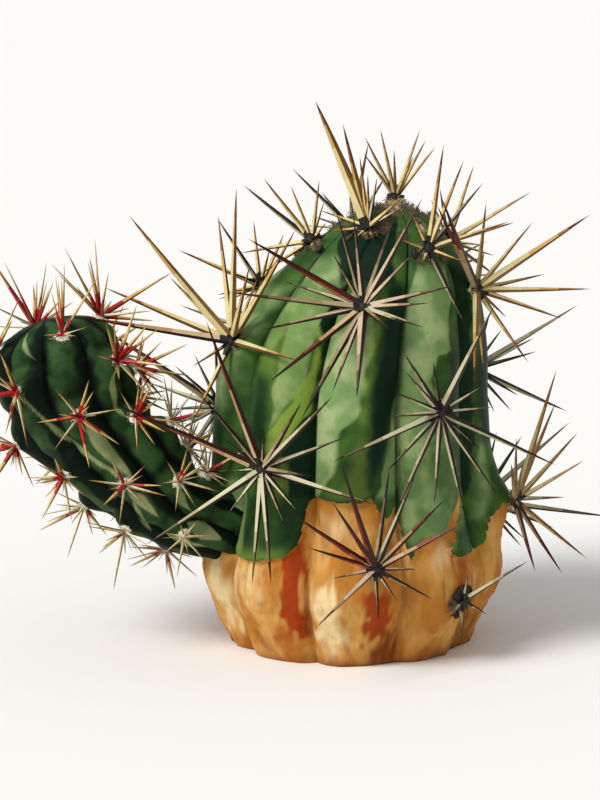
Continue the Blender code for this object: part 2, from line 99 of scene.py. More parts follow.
# Each star's rib, its turn away from the rib's crest in degrees, its height and the swelling
# under it in mm, and its chosen spines: clock angle, lift from the skin, length in mm.
AREOLES = (
    Areole("front_high", 0, -5, 106.0, 2.0, (
        (-75, 25, 39), (-105, 25, 40), (-86, 16, 24), (-42, 20, 18), (-27, 20, 29), (-14, 36, 28),
        (10, 20, 28), (26, 30, 37), (42, 30, 23), (75, 20, 30), (92, 30, 25), (106, 22, 23),
        (118, 28, 33), (134, 30, 27), (165, 14, 43), (180, 14, 32), (-172, 18, 45), (-154, 25, 42),
        (-120, 15, 31))),
    Areole("front_low", 0, 6, 32.0, 2.0, (
        (-60, 20, 35), (-72, 18, 25), (-42, 35, 33), (-28, 30, 40), (5, 15, 30), (18, 25, 32),
        (42, 25, 29), (62, 25, 30), (92, 20, 12), (122, 20, 19), (152, 20, 11), (-175, 20, 16),
        (-98, 20, 16), (-125, 25, 30))),
    Areole("right_front_top", 1, -4, 120.0, 1.0, (
        (2, 40, 31), (18, 47, 28), (45, 40, 25), (82, 30, 25), (175, 10, 29), (-38, 30, 13))),
    Areole("right_front_middle", 1, -5, 76.0, 2.0, (
        (-38, 20, 35), (-50, 20, 24), (-66, 20, 20), (-86, 22, 22), (-106, 10, 40), (-125, 16, 27),
        (-145, 14, 33), (-16, 15, 17), (22, 15, 17), (8, 36, 42), (56, 20, 14), (85, 22, 15),
        (118, 26, 37), (136, 14, 16), (152, 20, 29), (174, 18, 31), (-165, 20, 28))),
    Areole("right_front_foot", 1, 2, 20.0, 1.0, ((50, 20, 22),)),
    Areole("right_high", 2, -8, 107.0, 2.0, (
        (-45, 10, 43), (-34, 12, 34), (-5, 30, 27), (48, 40, 26), (70, 46, 41), (98, 34, 23),
        (116, 42, 35), (132, 30, 28), (-175, 20, 27), (-128, 10, 42), (-140, 8, 30))),
    Areole("right_low", 2, 0, 43.0, 5.5, (
        (20, 25, 41), (32, 27, 33), (-50, 8, 24), (5, 10, 19), (55, 40, 31), (75, 46, 28),
        (-125, 10, 30), (-162, 25, 26), (160, 36, 29))),
    Areole("right_back_high", 3, 0, 117.0, 1.0, ()),
    Areole("right_back_middle", 3, 0, 77.0, 2.0, ()),
    Areole("right_back_low", 3, 0, 36.0, 2.0, ()),
    Areole("back_right_high", 4, 0, 100.0, 2.0, ()),
    Areole("back_right_middle", 4, 0, 57.0, 2.0, ()),
    Areole("back_right_foot", 4, 0, 20.0, 1.0, ()),
    Areole("back_left_high", 5, 0, 119.0, 1.0, ()),
    Areole("back_left_middle", 5, 0, 80.0, 2.0, ()),
    Areole("back_left_low", 5, 0, 38.0, 2.0, ()),
    Areole("left_back_high", 6, 0, 103.0, 2.0, ()),
    Areole("left_back_middle", 6, 0, 66.0, 2.0, ()),
    Areole("left_back_foot", 6, 0, 22.0, 1.0, ()),
    Areole("left_top", 7, 0, 120.0, 1.0, (
        (-100, 30, 36), (-88, 44, 27), (-65, 45, 19), (15, 45, 19), (-140, 15, 25), (175, 8, 18))),
    Areole("left_high", 7, 8, 92.5, 2.0, (
        (-60, 40, 48), (-72, 30, 28), (-125, 45, 47), (-97, 35, 43), (-38, 10, 39), (-28, 10, 46),
        (34, 34, 34), (10, 12, 22), (22, 12, 43), (80, 6, 34), (178, 20, 28), (165, 10, 27))),
    Areole("left_front_top", 8, 14, 125.5, 1.0, (
        (-52, 45, 40), (-42, 50, 31), (-30, 56, 21), (-15, 62, 16), (12, 64, 16), (90, 50, 22))),
    Areole("left_front_middle", 8, 2, 59.5, 2.0, (
        (-15, 18, 48), (-35, 20, 29), (-65, 26, 47), (-56, 12, 15), (50, 5, 44), (40, 20, 33),
        (66, 10, 34), (98, 4, 40), (84, 28, 28), (120, 20, 21), (145, 10, 21), (160, 20, 35),
        (175, 15, 34), (-150, 20, 17), (-130, 26, 41))),
)
CROWN_SPINES = (          # the young star on the tip
    (0, 52, 16), (40, 58, 22), (75, 50, 19), (110, 62, 20), (150, 54, 17), (-160, 60, 19),
    (-110, 55, 17), (-65, 60, 20), (-30, 66, 21),
)
# The rule of the other stars: how many spines lie round the star and how many stand out of it,
# their lift from the skin in degrees and their length in mm.
RADIALS = 11
RADIAL_LIFT = (12.0, 28.0)
RADIAL_LENGTH = (15.0, 30.0)
CENTRALS = 3
CENTRAL_LIFT = (48.0, 68.0)
CENTRAL_LENGTH = (28.0, 44.0)
CENTRAL_TURN = 25.0       # the centrals' turn against the radials in degrees
CENTRAL_SPREAD = 18.0     # and how far each spine may stray from its even place
RADIAL_SPREAD = 8.0
FILL_SPREAD = 5.0
FILL_GAP = 26.0           # degrees between the short spines that fill a gap in a chosen star
FILL_LENGTH = (9.0, 16.0)
MOST_FILL = 4             # short spines in one gap
FOOT_HEIGHT = 25.0        # a star under this height in mm is old and has few spines
FOOT_SPINES = 5
YOUNG_HEIGHT = 100.0      # and one over this height has shorter spines
YOUNG_SHARE = 0.72
ARM_RADIALS = 7
ARM_CENTRALS = 2
ARM_RADIAL_LENGTH = (8.0, 13.0)
ARM_CENTRAL_LENGTH = (12.0, 18.0)
ARM_TIP_GAIN = 0.6        # how much longer the spines are at the arm's tip
SPINE_THICKNESS = (0.48, 0.021)          # radius in mm, and its gain for each mm of length
ARM_SPINE_THICKNESS = (0.34, 0.016)
# A spine that isn't free is lifted by these degrees in turn, then cut to these shares.
LIFT_TRIALS = (0.0, 3.0, -3.0, 6.0, -6.0, 10.0, 15.0)
LENGTH_TRIALS = (1.0, 0.85, 0.7)
# Listed spines that the solids have no room for, how far they are stood up in degrees and
# what share of their length they keep.
LATE_SPINES = (("spines_front_high", 14),)
LATE_LIFT = 12.0
LATE_SHARE = 0.92


# ---- surfaces -----------------------------------------------------------------------------
def smooth_line(points, steps=12):
    """A Catmull-Rom curve through the points."""
    knots = np.array(points, float)
    ends = (2 * knots[0] - knots[1], 2 * knots[-1] - knots[-2])
    knots = np.vstack([ends[0], knots, ends[1]])
    curve = []
    for i in range(1, len(knots) - 2):
        a, b, c, d = knots[i - 1:i + 3]
        for t in np.arange(steps) / steps:
            curve.append(0.5 * (2 * b + (c - a) * t + (2 * a - 5 * b + 4 * c - d) * t * t
                                + (3 * b - a - 3 * c + d) * t ** 3))
    curve.append(knots[-2])
    return np.array(curve)


OUTLINE_CURVE = smooth_line(STEM_OUTLINE) * MM
DEPTH_CURVE = np.array(FURROW_DEPTH) * (MM, 1.0)
ARM_CURVE = smooth_line(ARM_AXIS) * MM
ARM_STEPS = np.concatenate([[0.0], np.cumsum(np.linalg.norm(np.diff(ARM_CURVE, axis=0), axis=1))])
ARM_LENGTH = ARM_STEPS[-1]
ARM_RADII = smooth_line(ARM_PROFILE, 4)


def furrow(turn, ribs):
    """0 on a rib's crest and 1 at the bottom of the furrow, for an angle in turns of the ribs."""
    across = 2.0 * np.abs((turn * ribs + 0.5) % 1.0 - 0.5)
    return 1.0 - (1.0 - across * across) ** FURROW_SHAPE


def lean(height):
    """How far the stem has bent to the right at a height."""
    return LEAN_AT_TIP * np.maximum(0.0, (height - LEAN_START) / (STEM_HEIGHT - LEAN_START)) ** 1.5


def turned(angle):
    """An angle brought between half a turn back and half a turn on."""
    return (angle + math.pi) % math.tau - math.pi


def areole_azimuth(areole):
    return FRONT_RIB + areole.rib * RIB_PITCH + math.radians(areole.aside)


def stem_radius(azimuth, height):
    """Radius of the stem with its ribs and the swelling under each star."""
    crest = np.interp(height, OUTLINE_CURVE[:, 1], OUTLINE_CURVE[:, 0])
    depth = np.interp(height, DEPTH_CURVE[:, 0], DEPTH_CURVE[:, 1])
    radius = crest * (1.0 - depth * furrow((azimuth - FRONT_RIB) / math.tau, RIBS))
    for areole in AREOLES:
        turn = turned(azimuth - areole_azimuth(areole))
        away = (turn * crest) ** 2 + (height - areole.height * MM) ** 2
        radius = radius + areole.swell * MM * np.exp(-away / (2 * SWELL_WIDTH ** 2))
    return radius


def stem_surface(azimuth, height, proud=0.0):
    """Points of the stem's skin, or of a skin that stands proud of it."""
    radius = stem_radius(azimuth, height) + proud
    return np.stack([lean(height) + radius * np.sin(azimuth), -radius * np.cos(azimuth),
                     height + 0.0 * azimuth], axis=-1)


def unit(vectors):
    """The vectors at length 1."""
    return vectors / np.linalg.norm(vectors, axis=-1, keepdims=True)


def arm_centre(along):
    """Points of the arm's middle line at distances along it."""
    return np.stack([np.interp(along, ARM_STEPS, ARM_CURVE[:, k]) for k in range(3)], axis=-1)


def arm_frame(along):
    """Centre, tangent, front and side of the arm at distances along its axis."""
    step = 1.5 * MM
    ahead = arm_centre(np.minimum(along + step, ARM_LENGTH))
    behind = arm_centre(np.maximum(along - step, 0.0))
    tangent = unit(ahead - behind)
    front = np.array((0.0, -1.0, 0.0)) + tangent * tangent[..., 1:2]
    front = unit(front)
    return arm_centre(along), tangent, front, np.cross(tangent, front)


def arm_rib_angle(rib, along):
    """Angle of a rib's crest from the arm's front; the ribs wind round the arm."""
    return ARM_FIRST_RIB + rib * math.tau / ARM_RIBS + ARM_TWIST * (along - ARM_STRAIGHT * ARM_LENGTH)


def arm_areoles():
    """Rib and distance along the axis of every areole on the arm, every other rib half a step on."""
    places = []
    for rib in range(ARM_RIBS):
        along = ARM_FIRST_AREOLE + (rib % 2) * ARM_AREOLE_PITCH / 2
        while along < ARM_LAST_AREOLE:
            places.append((rib, along))
            along += ARM_AREOLE_PITCH
    return places


ARM_AREOLES = arm_areoles()


def arm_crest(along):
    """Radius of the arm on a rib's crest."""
    return np.interp(along / ARM_LENGTH, ARM_RADII[:, 0], ARM_RADII[:, 1]) * MM


def arm_surface(angle, along, proud=0.0):
    """Points of the arm's skin, or of a skin that stands proud of it."""
    centre, tangent, front, side = arm_frame(along)
    crest = arm_crest(along)
    turn = (angle - arm_rib_angle(0, along)) / math.tau
    radius = crest * (1.0 - ARM_FURROW * furrow(turn, ARM_RIBS))
    for rib, place in ARM_AREOLES:
        around = turned(angle - arm_rib_angle(rib, place))
        away = (around * crest) ** 2 + (along - place) ** 2
        swell = ARM_SWELL * np.minimum(1.0, crest / (12 * MM))
        radius = radius + swell * np.exp(-away / (2 * ARM_SWELL_WIDTH ** 2))
    outward = front * np.cos(angle)[..., None] + side * np.sin(angle)[..., None]
    return centre + outward * (radius + proud)[..., None]


def frame_on(surface, across, along, step_across, step_along):
    """Point, side, up and normal of a surface, from its own neighbouring points."""
    def at(a, b):
        return Vector(surface(np.float64(a), np.float64(b)))
    up = at(across, along + step_along) - at(across, along - step_along)
    side = at(across + step_across, along) - at(across - step_across, along)
    normal = side.cross(up).normalized()
    up = (up - normal * up.dot(normal)).normalized()
    return at(across, along), up.cross(normal), up, normal


# ---- stars of spines, by the solids' own rule ---------------------------------------------
def ruled_star(draw, radials, radial_length, centrals, central_length, grown):
    """Radial spines laid round the star and centrals standing out of it, as clock, lift, length."""
    spines = []
    first = draw.uniform(0.0, 360.0)
    for i in range(centrals):
        spines.append((first + CENTRAL_TURN + 360.0 * i / centrals
                       + draw.uniform(-CENTRAL_SPREAD, CENTRAL_SPREAD),
                       draw.uniform(*CENTRAL_LIFT), grown * draw.uniform(*central_length)))
    for i in range(radials):
        spines.append((first + 360.0 * i / radials + draw.uniform(-RADIAL_SPREAD, RADIAL_SPREAD),
                       draw.uniform(*RADIAL_LIFT), grown * draw.uniform(*radial_length)))
    return spines


def filled_star(draw, chosen):
    """The chosen spines, with short ones in the widest gaps between their clock angles."""
    spines = list(chosen)
    clocks = sorted(clock % 360.0 for clock, lift, length in chosen)
    for i, clock in enumerate(clocks):
        gap = (clocks[(i + 1) % len(clocks)] - clock) % 360.0 or 360.0
        extra = min(MOST_FILL, int(gap / (2.0 * FILL_GAP)))
        for j in range(extra):
            place = clock + gap * (j + 1) / (extra + 1) + draw.uniform(-FILL_SPREAD, FILL_SPREAD)
            spines.append((place, draw.uniform(*RADIAL_LIFT), draw.uniform(*FILL_LENGTH)))
    return spines


def spine_axis(spot, pad, clock, lift, length):
    """Root and tip of a spine that leaves the middle of its pad."""
    point, side, up, normal = spot
    middle = point + normal * (CLEARANCE + pad[1])
    turn = math.radians(clock)
    level = side * math.sin(turn) + up * math.cos(turn)
    rise = math.radians(lift)
    direction = level * math.cos(rise) + normal * math.sin(rise)
    return middle + direction * (SPINE_ROOT * pad[0]), middle + direction * length * MM


def sampled(root, tip, radius):
    """Points along a spine with the spine's radius at each."""
    shares = np.linspace(0.0, 1.0, SPINE_SAMPLES)
    points = np.array(root)[None, :] * (1 - shares)[:, None] + np.array(tip)[None, :] * shares[:, None]
    return points, radius * (1.0 - shares)


def is_free(points, radii, limbs, others):
    """True if a spine keeps clear of the skin, of the ground and of every other star."""
    if np.min(points[:, 2] - radii) < CLEARANCE:
        return False
    for point, radius in zip(points, radii):
        for tree in limbs:
            near, normal, index, distance = tree.find_nearest(Vector(point))
            outside = (Vector(point) - near).dot(normal) > 0.0
            if distance < radius + CLEARANCE or not outside:
                return False
    for other_points, other_radii in others:
        apart = np.linalg.norm(points[:, None, :] - other_points[None, :, :], axis=2)
        step = np.linalg.norm(points[1] - points[0]) + np.linalg.norm(other_points[1] - other_points[0])
        reach = radii[:, None] + other_radii[None, :] + CLEARANCE
        # between two samples the spines can come nearer, so near ones are measured finely
        if np.any(apart < reach + 0.6 * step):
            if closest_gap(points, radii, other_points, other_radii) < CLEARANCE:
                return False
    return True


def closest_gap(points, radii, other_points, other_radii, steps=90):
    """The narrowest gap between two spines, sampled finely."""
    shares = np.linspace(0.0, 1.0, steps)[:, None]
    first = points[0] * (1 - shares) + points[-1] * shares
    second = other_points[0] * (1 - shares) + other_points[-1] * shares
    apart = np.linalg.norm(first[:, None, :] - second[None, :, :], axis=2)
    thick = radii[0] * (1 - shares) + (other_radii[0] * (1 - shares)).T
    step = max(np.linalg.norm(first[1] - first[0]), np.linalg.norm(second[1] - second[0]))
    return float(np.min(apart - thick)) - 0.35 * step


def settle_star(spot, pad, thickness, spines, limbs, others):
    """Number, root, tip and radius of each spine, moved a little or shortened until it is free."""
    placed = []
    for number, (clock, lift, length) in enumerate(spines):
        radius = (thickness[0] + thickness[1] * length) * MM
        found = None
        for share in LENGTH_TRIALS:
            for change in LIFT_TRIALS:
                if found is None:
                    root, tip = spine_axis(spot, pad, clock, lift + change, length * share)
                    points, radii = sampled(root, tip, radius)
                    if is_free(points, radii, limbs, others):
                        found = (number, root, tip, radius)
        if found:
            placed.append(found)
    return placed


def seated(spot, tree):
    """The frame with its point moved along the normal onto the faceted skin."""
    point, side, up, normal = spot
    found = tree.ray_cast(point + normal * 5 * MM, -normal, 10 * MM)[0]
    return (found or point), side, up, normal


def has_room(spot, tree):
    """False where the arm's skin lies inside the stem or too close to it for a star."""
    above = spot[0] + spot[3] * ARM_STAR_ROOM
    near, normal, index, distance = tree.find_nearest(above)
    return distance > ARM_STAR_ROOM and (above - near).dot(normal) > 0.0


def limb_tree(node):
    """The faces of a limb's solid, to find the nearest point on."""
    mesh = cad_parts[node].data
    mesh.calc_loop_triangles()
    corners = [vertex.co.copy() for vertex in mesh.vertices]
    return BVHTree.FromPolygons(corners, [tuple(t.vertices) for t in mesh.loop_triangles])


def tip_frame():
    """The frame of the star that stands on the very tip, looking straight up."""
    up = Vector((0.0, 1.0, 0.0))
    normal = Vector((0.0, 0.0, 1.0))
    return Vector((float(lean(STEM_HEIGHT)), 0.0, STEM_HEIGHT)), up.cross(normal), up, normal


Star = namedtuple("Star", "node spot pad thickness spines")


def late_spines(plan, done):
    """The star with its late spines, stood up a little to pass over their neighbours."""
    spines = list(done.spines)
    for node, number in LATE_SPINES:
        if node == plan.node:
            clock, lift, length = plan.spines[number]
            root, tip = spine_axis(plan.spot, plan.pad, clock, lift + LATE_LIFT, length * LATE_SHARE)
            spines.append((number, root, tip, (plan.thickness[0] + plan.thickness[1] * length) * MM))
    return done._replace(spines=spines)


def grow_stars():
    """Every star of the plant with the spines that its solid has."""
    limbs = [limb_tree(node) for node in ("main_stem", "arm_lower", "arm_upper")]
    split = ARM_LENGTH * ARM_SPLIT
    stars = []
    for areole in AREOLES:
        draw = random.Random(f"{SEED}-{areole.name}")
        spot = frame_on(stem_surface, areole_azimuth(areole), areole.height * MM, *STEM_STEP)
        if areole.chosen:
            spines = filled_star(draw, areole.chosen)
        else:
            grown = YOUNG_SHARE if areole.height > YOUNG_HEIGHT else 1.0
            spines = ruled_star(draw, RADIALS, RADIAL_LENGTH, CENTRALS, CENTRAL_LENGTH, grown)
        if areole.height < FOOT_HEIGHT:
            spines = spines[:FOOT_SPINES]
        stars.append(Star("spines_" + areole.name, seated(spot, limbs[0]), STEM_PAD, SPINE_THICKNESS, spines))
    stars.append(Star("spines_crown", tip_frame(), STEM_PAD, SPINE_THICKNESS, CROWN_SPINES))
    for rib, along in ARM_AREOLES:
        draw = random.Random(f"{SEED}-arm-{rib}-{along:.4f}")
        spot = frame_on(arm_surface, arm_rib_angle(rib, along), along, *ARM_STEP)
        if not has_room(spot, limbs[0]):
            continue
        grown = 1.0 + ARM_TIP_GAIN * (along / ARM_LENGTH) ** 3
        spines = ruled_star(draw, ARM_RADIALS, ARM_RADIAL_LENGTH, ARM_CENTRALS, ARM_CENTRAL_LENGTH, grown)
        name = f"spines_arm_{rib}_{round(along / MM):02d}"
        spot = seated(spot, limbs[1 if along < split else 2])
        stars.append(Star(name, spot, ARM_PAD, ARM_SPINE_THICKNESS, spines))

    pads = []
    for star in stars:
        middle = star.spot[0] + star.spot[3] * (CLEARANCE + star.pad[1])
        disc = np.array([middle] * SPINE_SAMPLES) + 1e-9 * np.arange(SPINE_SAMPLES)[:, None]
        pads.append((disc, np.full(SPINE_SAMPLES, star.pad[0])))
    grown_stars = []
    for i, star in enumerate(stars):
        others = [entry for j, entry in enumerate(pads) if j != i]
        others += [sampled(*placed[1:]) for done in grown_stars for placed in done.spines]
        placed = settle_star(star.spot, star.pad, star.thickness, star.spines, limbs, others)
        grown_stars.append(star._replace(spines=placed))
    return [late_spines(plan, done) for plan, done in zip(stars, grown_stars)]


# ---- materials ----------------------------------------------------------------------------
def linear(code):
    """An sRGB hex colour as linear red, green, blue and alpha."""
    parts = [int(code[i:i + 2], 16) / 255.0 for i in (1, 3, 5)]
    return tuple(p / 12.92 if p <= 0.04045 else ((p + 0.055) / 1.055) ** 2.4 for p in parts) + (1.0,)


def add(tree, kind, inputs=None, output=0, **settings):
    """Adds a node with its settings and returns one of its outputs, by number or name.

    Each input, by number or name, takes a socket to link, a value or a hex colour.
    """
    node = tree.nodes.new(kind)
    for name, value in settings.items():
        setattr(node, name, value)
    for name, value in (inputs or {}).items():
        if isinstance(value, bpy.types.NodeSocket):
            tree.links.new(value, node.inputs[name])
        else:
            node.inputs[name].default_value = linear(value) if str(value).startswith("#") else value
    return node.outputs[output]


def new_material(name, colour, roughness, **settings):
    """A material with its shader's own values; its colour shows in the plain view too."""
    made = bpy.data.materials.new(name)
    made.use_nodes = True
    made.diffuse_color = linear(colour)
    shader = made.node_tree.nodes["Principled BSDF"]
    shader.inputs["Base Color"].default_value = linear(colour)
    shader.inputs["Roughness"].default_value = roughness
    for socket, value in settings.items():
        shader.inputs[socket.replace("_", " ")].default_value = value
    return made


def grain(tree, size, detail=2.0, stretch=(1.0, 1.0, 1.0)):
    """Noise whose lumps are about this size in metres, on the object's own coordinates."""
    place = add(tree, "ShaderNodeTexCoord", None, "Object")
    place = add(tree, "ShaderNodeMapping", {"Vector": place, "Scale": stretch})
    return add(tree, "ShaderNodeTexNoise", {"Vector": place, "Scale": 1.0 / size, "Detail": detail}, "Fac")


def layered(tree, colour, layers):
    """The colour with layers laid over it in turn; a layer is an amount and a colour."""
    # inputs 6 and 7 and output 2 of this node are its colours
    for amount, over in layers:
        colour = add(tree, "ShaderNodeMix", {"Factor": amount, 6: colour, 7: over}, 2, data_type="RGBA")
    return colour


def green_colour(tree, mid, bright, sage, bloom, yellow, deep, crease):
    """The colour of living skin: blotched green under patches of painted light with bloom, a paler bloom and
    highlight, yellow, deep green with painted shade, and near-black painted shade in the creases.
    """
    tone = {name: add(tree, "ShaderNodeAttribute", None, "Fac", attribute_name=name)
            for name in ("sage", "yellow", "deep", "crease")}
    blotch = grain(tree, 8 * MM)
    pores = grain(tree, 2 * MM, 3.0)
    brighter = add(tree, "ShaderNodeMapRange", {"Value": blotch, "From Min": 0.42, "From Max": 0.62})
    dusty = add(tree, "ShaderNodeMapRange", {
        "Value": blotch, "From Min": 0.46, "From Max": 0.62, "To Max": 0.75})
    # bloom and painted highlight, in patches over the painted light
    bloom_on_painted_light = add(tree, "ShaderNodeMath", {0: tone["sage"], 1: dusty}, operation="MULTIPLY")
    dotted = add(tree, "ShaderNodeMapRange", {
        "Value": pores, "From Min": 0.55, "From Max": 0.8, "To Max": 0.25})
    return layered(tree, mid, (
        (brighter, bright), (tone["sage"], sage), (bloom_on_painted_light, bloom), (tone["yellow"], yellow),
        (tone["deep"], deep), (tone["crease"], crease), (dotted, deep)))


def skin_finish(made, colour, relief, depth):
    """Gives a skin its colour and the relief that is too fine for its mesh."""
    tree = made.node_tree
    shader = tree.nodes["Principled BSDF"]
    bump = add(tree, "ShaderNodeBump", {"Height": relief, "Distance": depth, "Strength": 1.0})
    tree.links.new(colour, shader.inputs["Base Color"])
    tree.links.new(bump, shader.inputs["Normal"])
    return made


def arm_skin_finish():
    """Young cactus skin, grown: smooth, dark and tight, with a soft waxy sheen. It carries painted light in
    pale wedges along the ribs' crests, and painted shade on the flanks and in the furrows."""
    made = new_material("tight_waxy_arm_skin", "#1F3520", 0.5, Specular_IOR_Level=0.06)
    tree = made.node_tree
    colour = green_colour(tree, "#1A3016", "#33502A", "#849460", "#A3A878", "#3F5A28", "#07120C", "#030805")
    return skin_finish(made, colour, grain(tree, 0.6 * MM, 1.0), 0.06 * MM)


def stem_skin_finish():
    """Old cactus skin, grown: tough and waxy green with a dusty bloom, that ends in dry, matt cork
    where the foot has split and healed. The green has a broad soft sheen and the cork has none. Both carry
    painted light and painted shade in their tones."""
    made = new_material("waxy_skin_on_dry_cork", "#3E5A2C", 0.52, Specular_IOR_Level=0.08)
    tree = made.node_tree
    green = green_colour(tree, "#29461D", "#406126", "#77955A", "#A8B680", "#829A3C", "#0A2417", "#040D08")
    tone = {name: add(tree, "ShaderNodeAttribute", None, "Fac", attribute_name=name)
            for name in ("pale", "rust", "dusk", "crack", "over")}
    streak = grain(tree, 9 * MM, 2.0, (1.0, 1.0, 0.4))
    fleck = grain(tree, 2.4 * MM, 3.0, (1.0, 1.0, 0.35))
    lighter_streaks = add(tree, "ShaderNodeMapRange", {"Value": streak, "From Min": 0.42, "From Max": 0.6})
    flecked = add(tree, "ShaderNodeMapRange", {
        "Value": fleck, "From Min": 0.56, "From Max": 0.74, "To Max": 0.35})
    # pale patches are painted highlights, rust red is partly painted shade in the folds, and the dark is
    # painted shade by the ground and in the furrows
    cork = layered(tree, "#B4752F", (
        (lighter_streaks, "#CD9A53"), (tone["pale"], "#E3CC98"), (tone["rust"], "#9C3A14"),
        (tone["dusk"], "#743617"), (flecked, "#8A4F1E"), (tone["crack"], "#5E3015")))
    # the edge of the green, frayed by a third of a millimetre
    fray = add(tree, "ShaderNodeMapRange", {
        "Value": grain(tree, 1.1 * MM), "From Min": 0.3, "From Max": 0.7, "To Min": -0.35, "To Max": 0.35})
    edge = add(tree, "ShaderNodeMath", {0: tone["over"], 1: fray}, operation="ADD")
    is_green = add(tree, "ShaderNodeMapRange", {"Value": edge, "From Min": -0.12, "From Max": 0.12})
    matt = add(tree, "ShaderNodeMapRange", {"Value": is_green, "To Min": 0.85, "To Max": 0.5})
    tree.links.new(matt, tree.nodes["Principled BSDF"].inputs["Roughness"])
    pores = add(tree, "ShaderNodeMapRange", {
        "Value": grain(tree, 0.6 * MM, 1.0), "To Min": 0.4, "To Max": 0.6})
    relief = add(tree, "ShaderNodeMix", {"Factor": is_green, "A": fleck, "B": pores})
    return skin_finish(made, layered(tree, cork, ((is_green, green),)), relief, 0.35 * MM)


# ---- meshes -------------------------------------------------------------------------------
def new_piece(name, vertices, faces, materials):
    """A new object with a mesh of its own."""
    mesh = bpy.data.meshes.new(name)
    mesh.from_pydata([tuple(v) for v in vertices], [], faces)
    for finish in materials:
        mesh.materials.append(finish)
    made = bpy.data.objects.new(name, mesh)
    bpy.context.scene.collection.objects.link(made)
    return made


def store(piece, name, values, kind="FLOAT"):
    """Keeps one value for each point of the piece, for its materials and its node tree."""
    field = "vector" if kind == "FLOAT_VECTOR" else "value"
    made = piece.data.attributes.new(name, kind, "POINT")
    made.data.foreach_set(field, np.asarray(values, np.float32).ravel())


def ringed_skin(name, points, foot, tip, tones, finish):
    """A closed skin through rings of points, a fan round each pole, with its tones stored on it."""
    rings, sides = points.shape[:2]
    first_pole = rings * sides
    last = first_pole - sides
    faces = []
    for i in range(rings - 1):
        a, b = i * sides, (i + 1) * sides
        for j in range(sides):
            k = (j + 1) % sides
            faces.append((a + j, a + k, b + k, b + j))
    for j in range(sides):
        k = (j + 1) % sides
        faces.append((first_pole, k, j))
        faces.append((last + j, last + k, first_pole + 1))
    piece = new_piece(name, np.vstack([points.reshape(-1, 3), foot, tip]), faces, (finish,))
    for tone, values in tones.items():
        store(piece, tone, np.concatenate([values.ravel(), (values[0].mean(), values[-1].mean())]))
    piece.data.polygons.foreach_set("use_smooth", [True] * len(piece.data.polygons))
    return piece


def lumps(points, size, seed):
    """Smooth noise between about -1 and 1 whose lumps are about this size, at each point."""
    shift = Vector((seed * 17.3, seed * 5.1, seed * 9.7))
    flat = points.reshape(-1, 3) / size
    return np.array([noise.noise(Vector(p) + shift) for p in flat]).reshape(points.shape[:-1])


def smooth_step(value):
    """0 up to 0 and 1 from 1 on, with a smooth rise between."""
    value = np.clip(value, 0.0, 1.0)
    return value * value * (3.0 - 2.0 * value)


def bell(distance, width):
    """1 in the middle, falling off smoothly over about the width."""
    return np.exp(-(distance / width) ** 2)


# ---- stem ---------------------------------------------------------------------------------
STEM_SIDES = 360
STEM_RINGS = 250
CORK_TOP = (              # azimuth in degrees and height in mm of the line where the cork ends
    (-98, 43), (-88, 38), (-78, 33), (-73, 31), (-69, 35), (-66, 37), (-63, 35), (-60, 32.3),
    (-52, 31.6), (-44, 31.5), (-37, 32), (-32, 32.6), (-28, 33.4), (-25.5, 35), (-23, 37), (-22, 41),
    (-21, 47), (-19.5, 49.5), (-12, 51.2), (-6, 51), (3, 50.2), (8, 51.5), (10.5, 48.3), (15.5, 45.5),
    (20, 48), (22.5, 45), (23.5, 36), (25, 32), (26.5, 35), (28.6, 37), (32.6, 38.8), (37, 39.5),
    (39.5, 37), (41, 34.5), (43, 33), (47, 31.8), (52, 32.2), (64, 31.1), (67.5, 32.6), (69.6, 37),
    (71, 40.7), (76, 44), (82, 42), (92, 38), (102, 42), (112, 35), (122, 32), (132, 35), (142, 44),
    (152, 36), (162, 33), (172, 38), (182, 46), (192, 38), (202, 34), (212, 35), (222, 42), (232, 34),
    (242, 31.5), (252, 36), (262, 43),
)
CORK_TONGUE = ((40.5, 37.0), (50.5, 48.0), 2.6)     # a strip of cork that runs up into the green
LOBE_STEP = 1.5 * MM      # how far the green lobes stand over the cork

Spot = namedtuple("Spot", "tone azimuth height wide tall rim strength")
# Patches of tone on the cork: pale painted highlights, rust red that is partly painted shade in the folds,
# and dark painted shade by the ground and in the furrows. Each has its middle in degrees and mm, half sizes
# in degrees and mm, and how soft the rim is as a share of the half size.
SPOTS = (
    Spot("pale", -66, 17, 6, 13, 0.6, 0.95), Spot("pale", -11, 16, 8, 13, 0.6, 0.95),
    Spot("pale", -8, 9, 12, 8, 0.9, 0.6), Spot("pale", -7, 43, 8, 6, 0.9, 0.45),
    Spot("pale", 38, 33, 6, 6, 0.9, 0.5), Spot("pale", -42, 24, 9, 9, 0.9, 0.55),
    Spot("pale", -55, 22, 7, 14, 0.9, 0.6), Spot("pale", 60, 22, 5, 9, 0.7, 0.45),
    Spot("pale", -75, 30, 6, 5, 0.7, 0.6),
    Spot("rust", -24, 22, 6, 16, 0.3, 1.0), Spot("rust", -28, 9, 7, 7, 0.9, 0.5),
    Spot("rust", 10, 16, 7, 12, 0.5, 0.95), Spot("rust", 47, 24, 6, 8, 0.5, 0.6),
    Spot("rust", 15, 38, 4.5, 7, 0.6, 0.7), Spot("rust", 3, 34, 5, 5, 0.8, 0.5),
    Spot("rust", 76, 18, 6, 9, 0.6, 0.5), Spot("dusk", 16, 5, 12, 10, 0.8, 0.9),
    Spot("dusk", 66, 6, 14, 8, 0.8, 0.6), Spot("dusk", -40, 4, 12, 5, 0.9, 0.45),
    Spot("dusk", -19, 20, 2.2, 17, 0.6, 0.5), Spot("dusk", 22, 22, 2.2, 18, 0.6, 0.4),
)
Run = namedtuple("Run", "tone ribs soft strength rows")
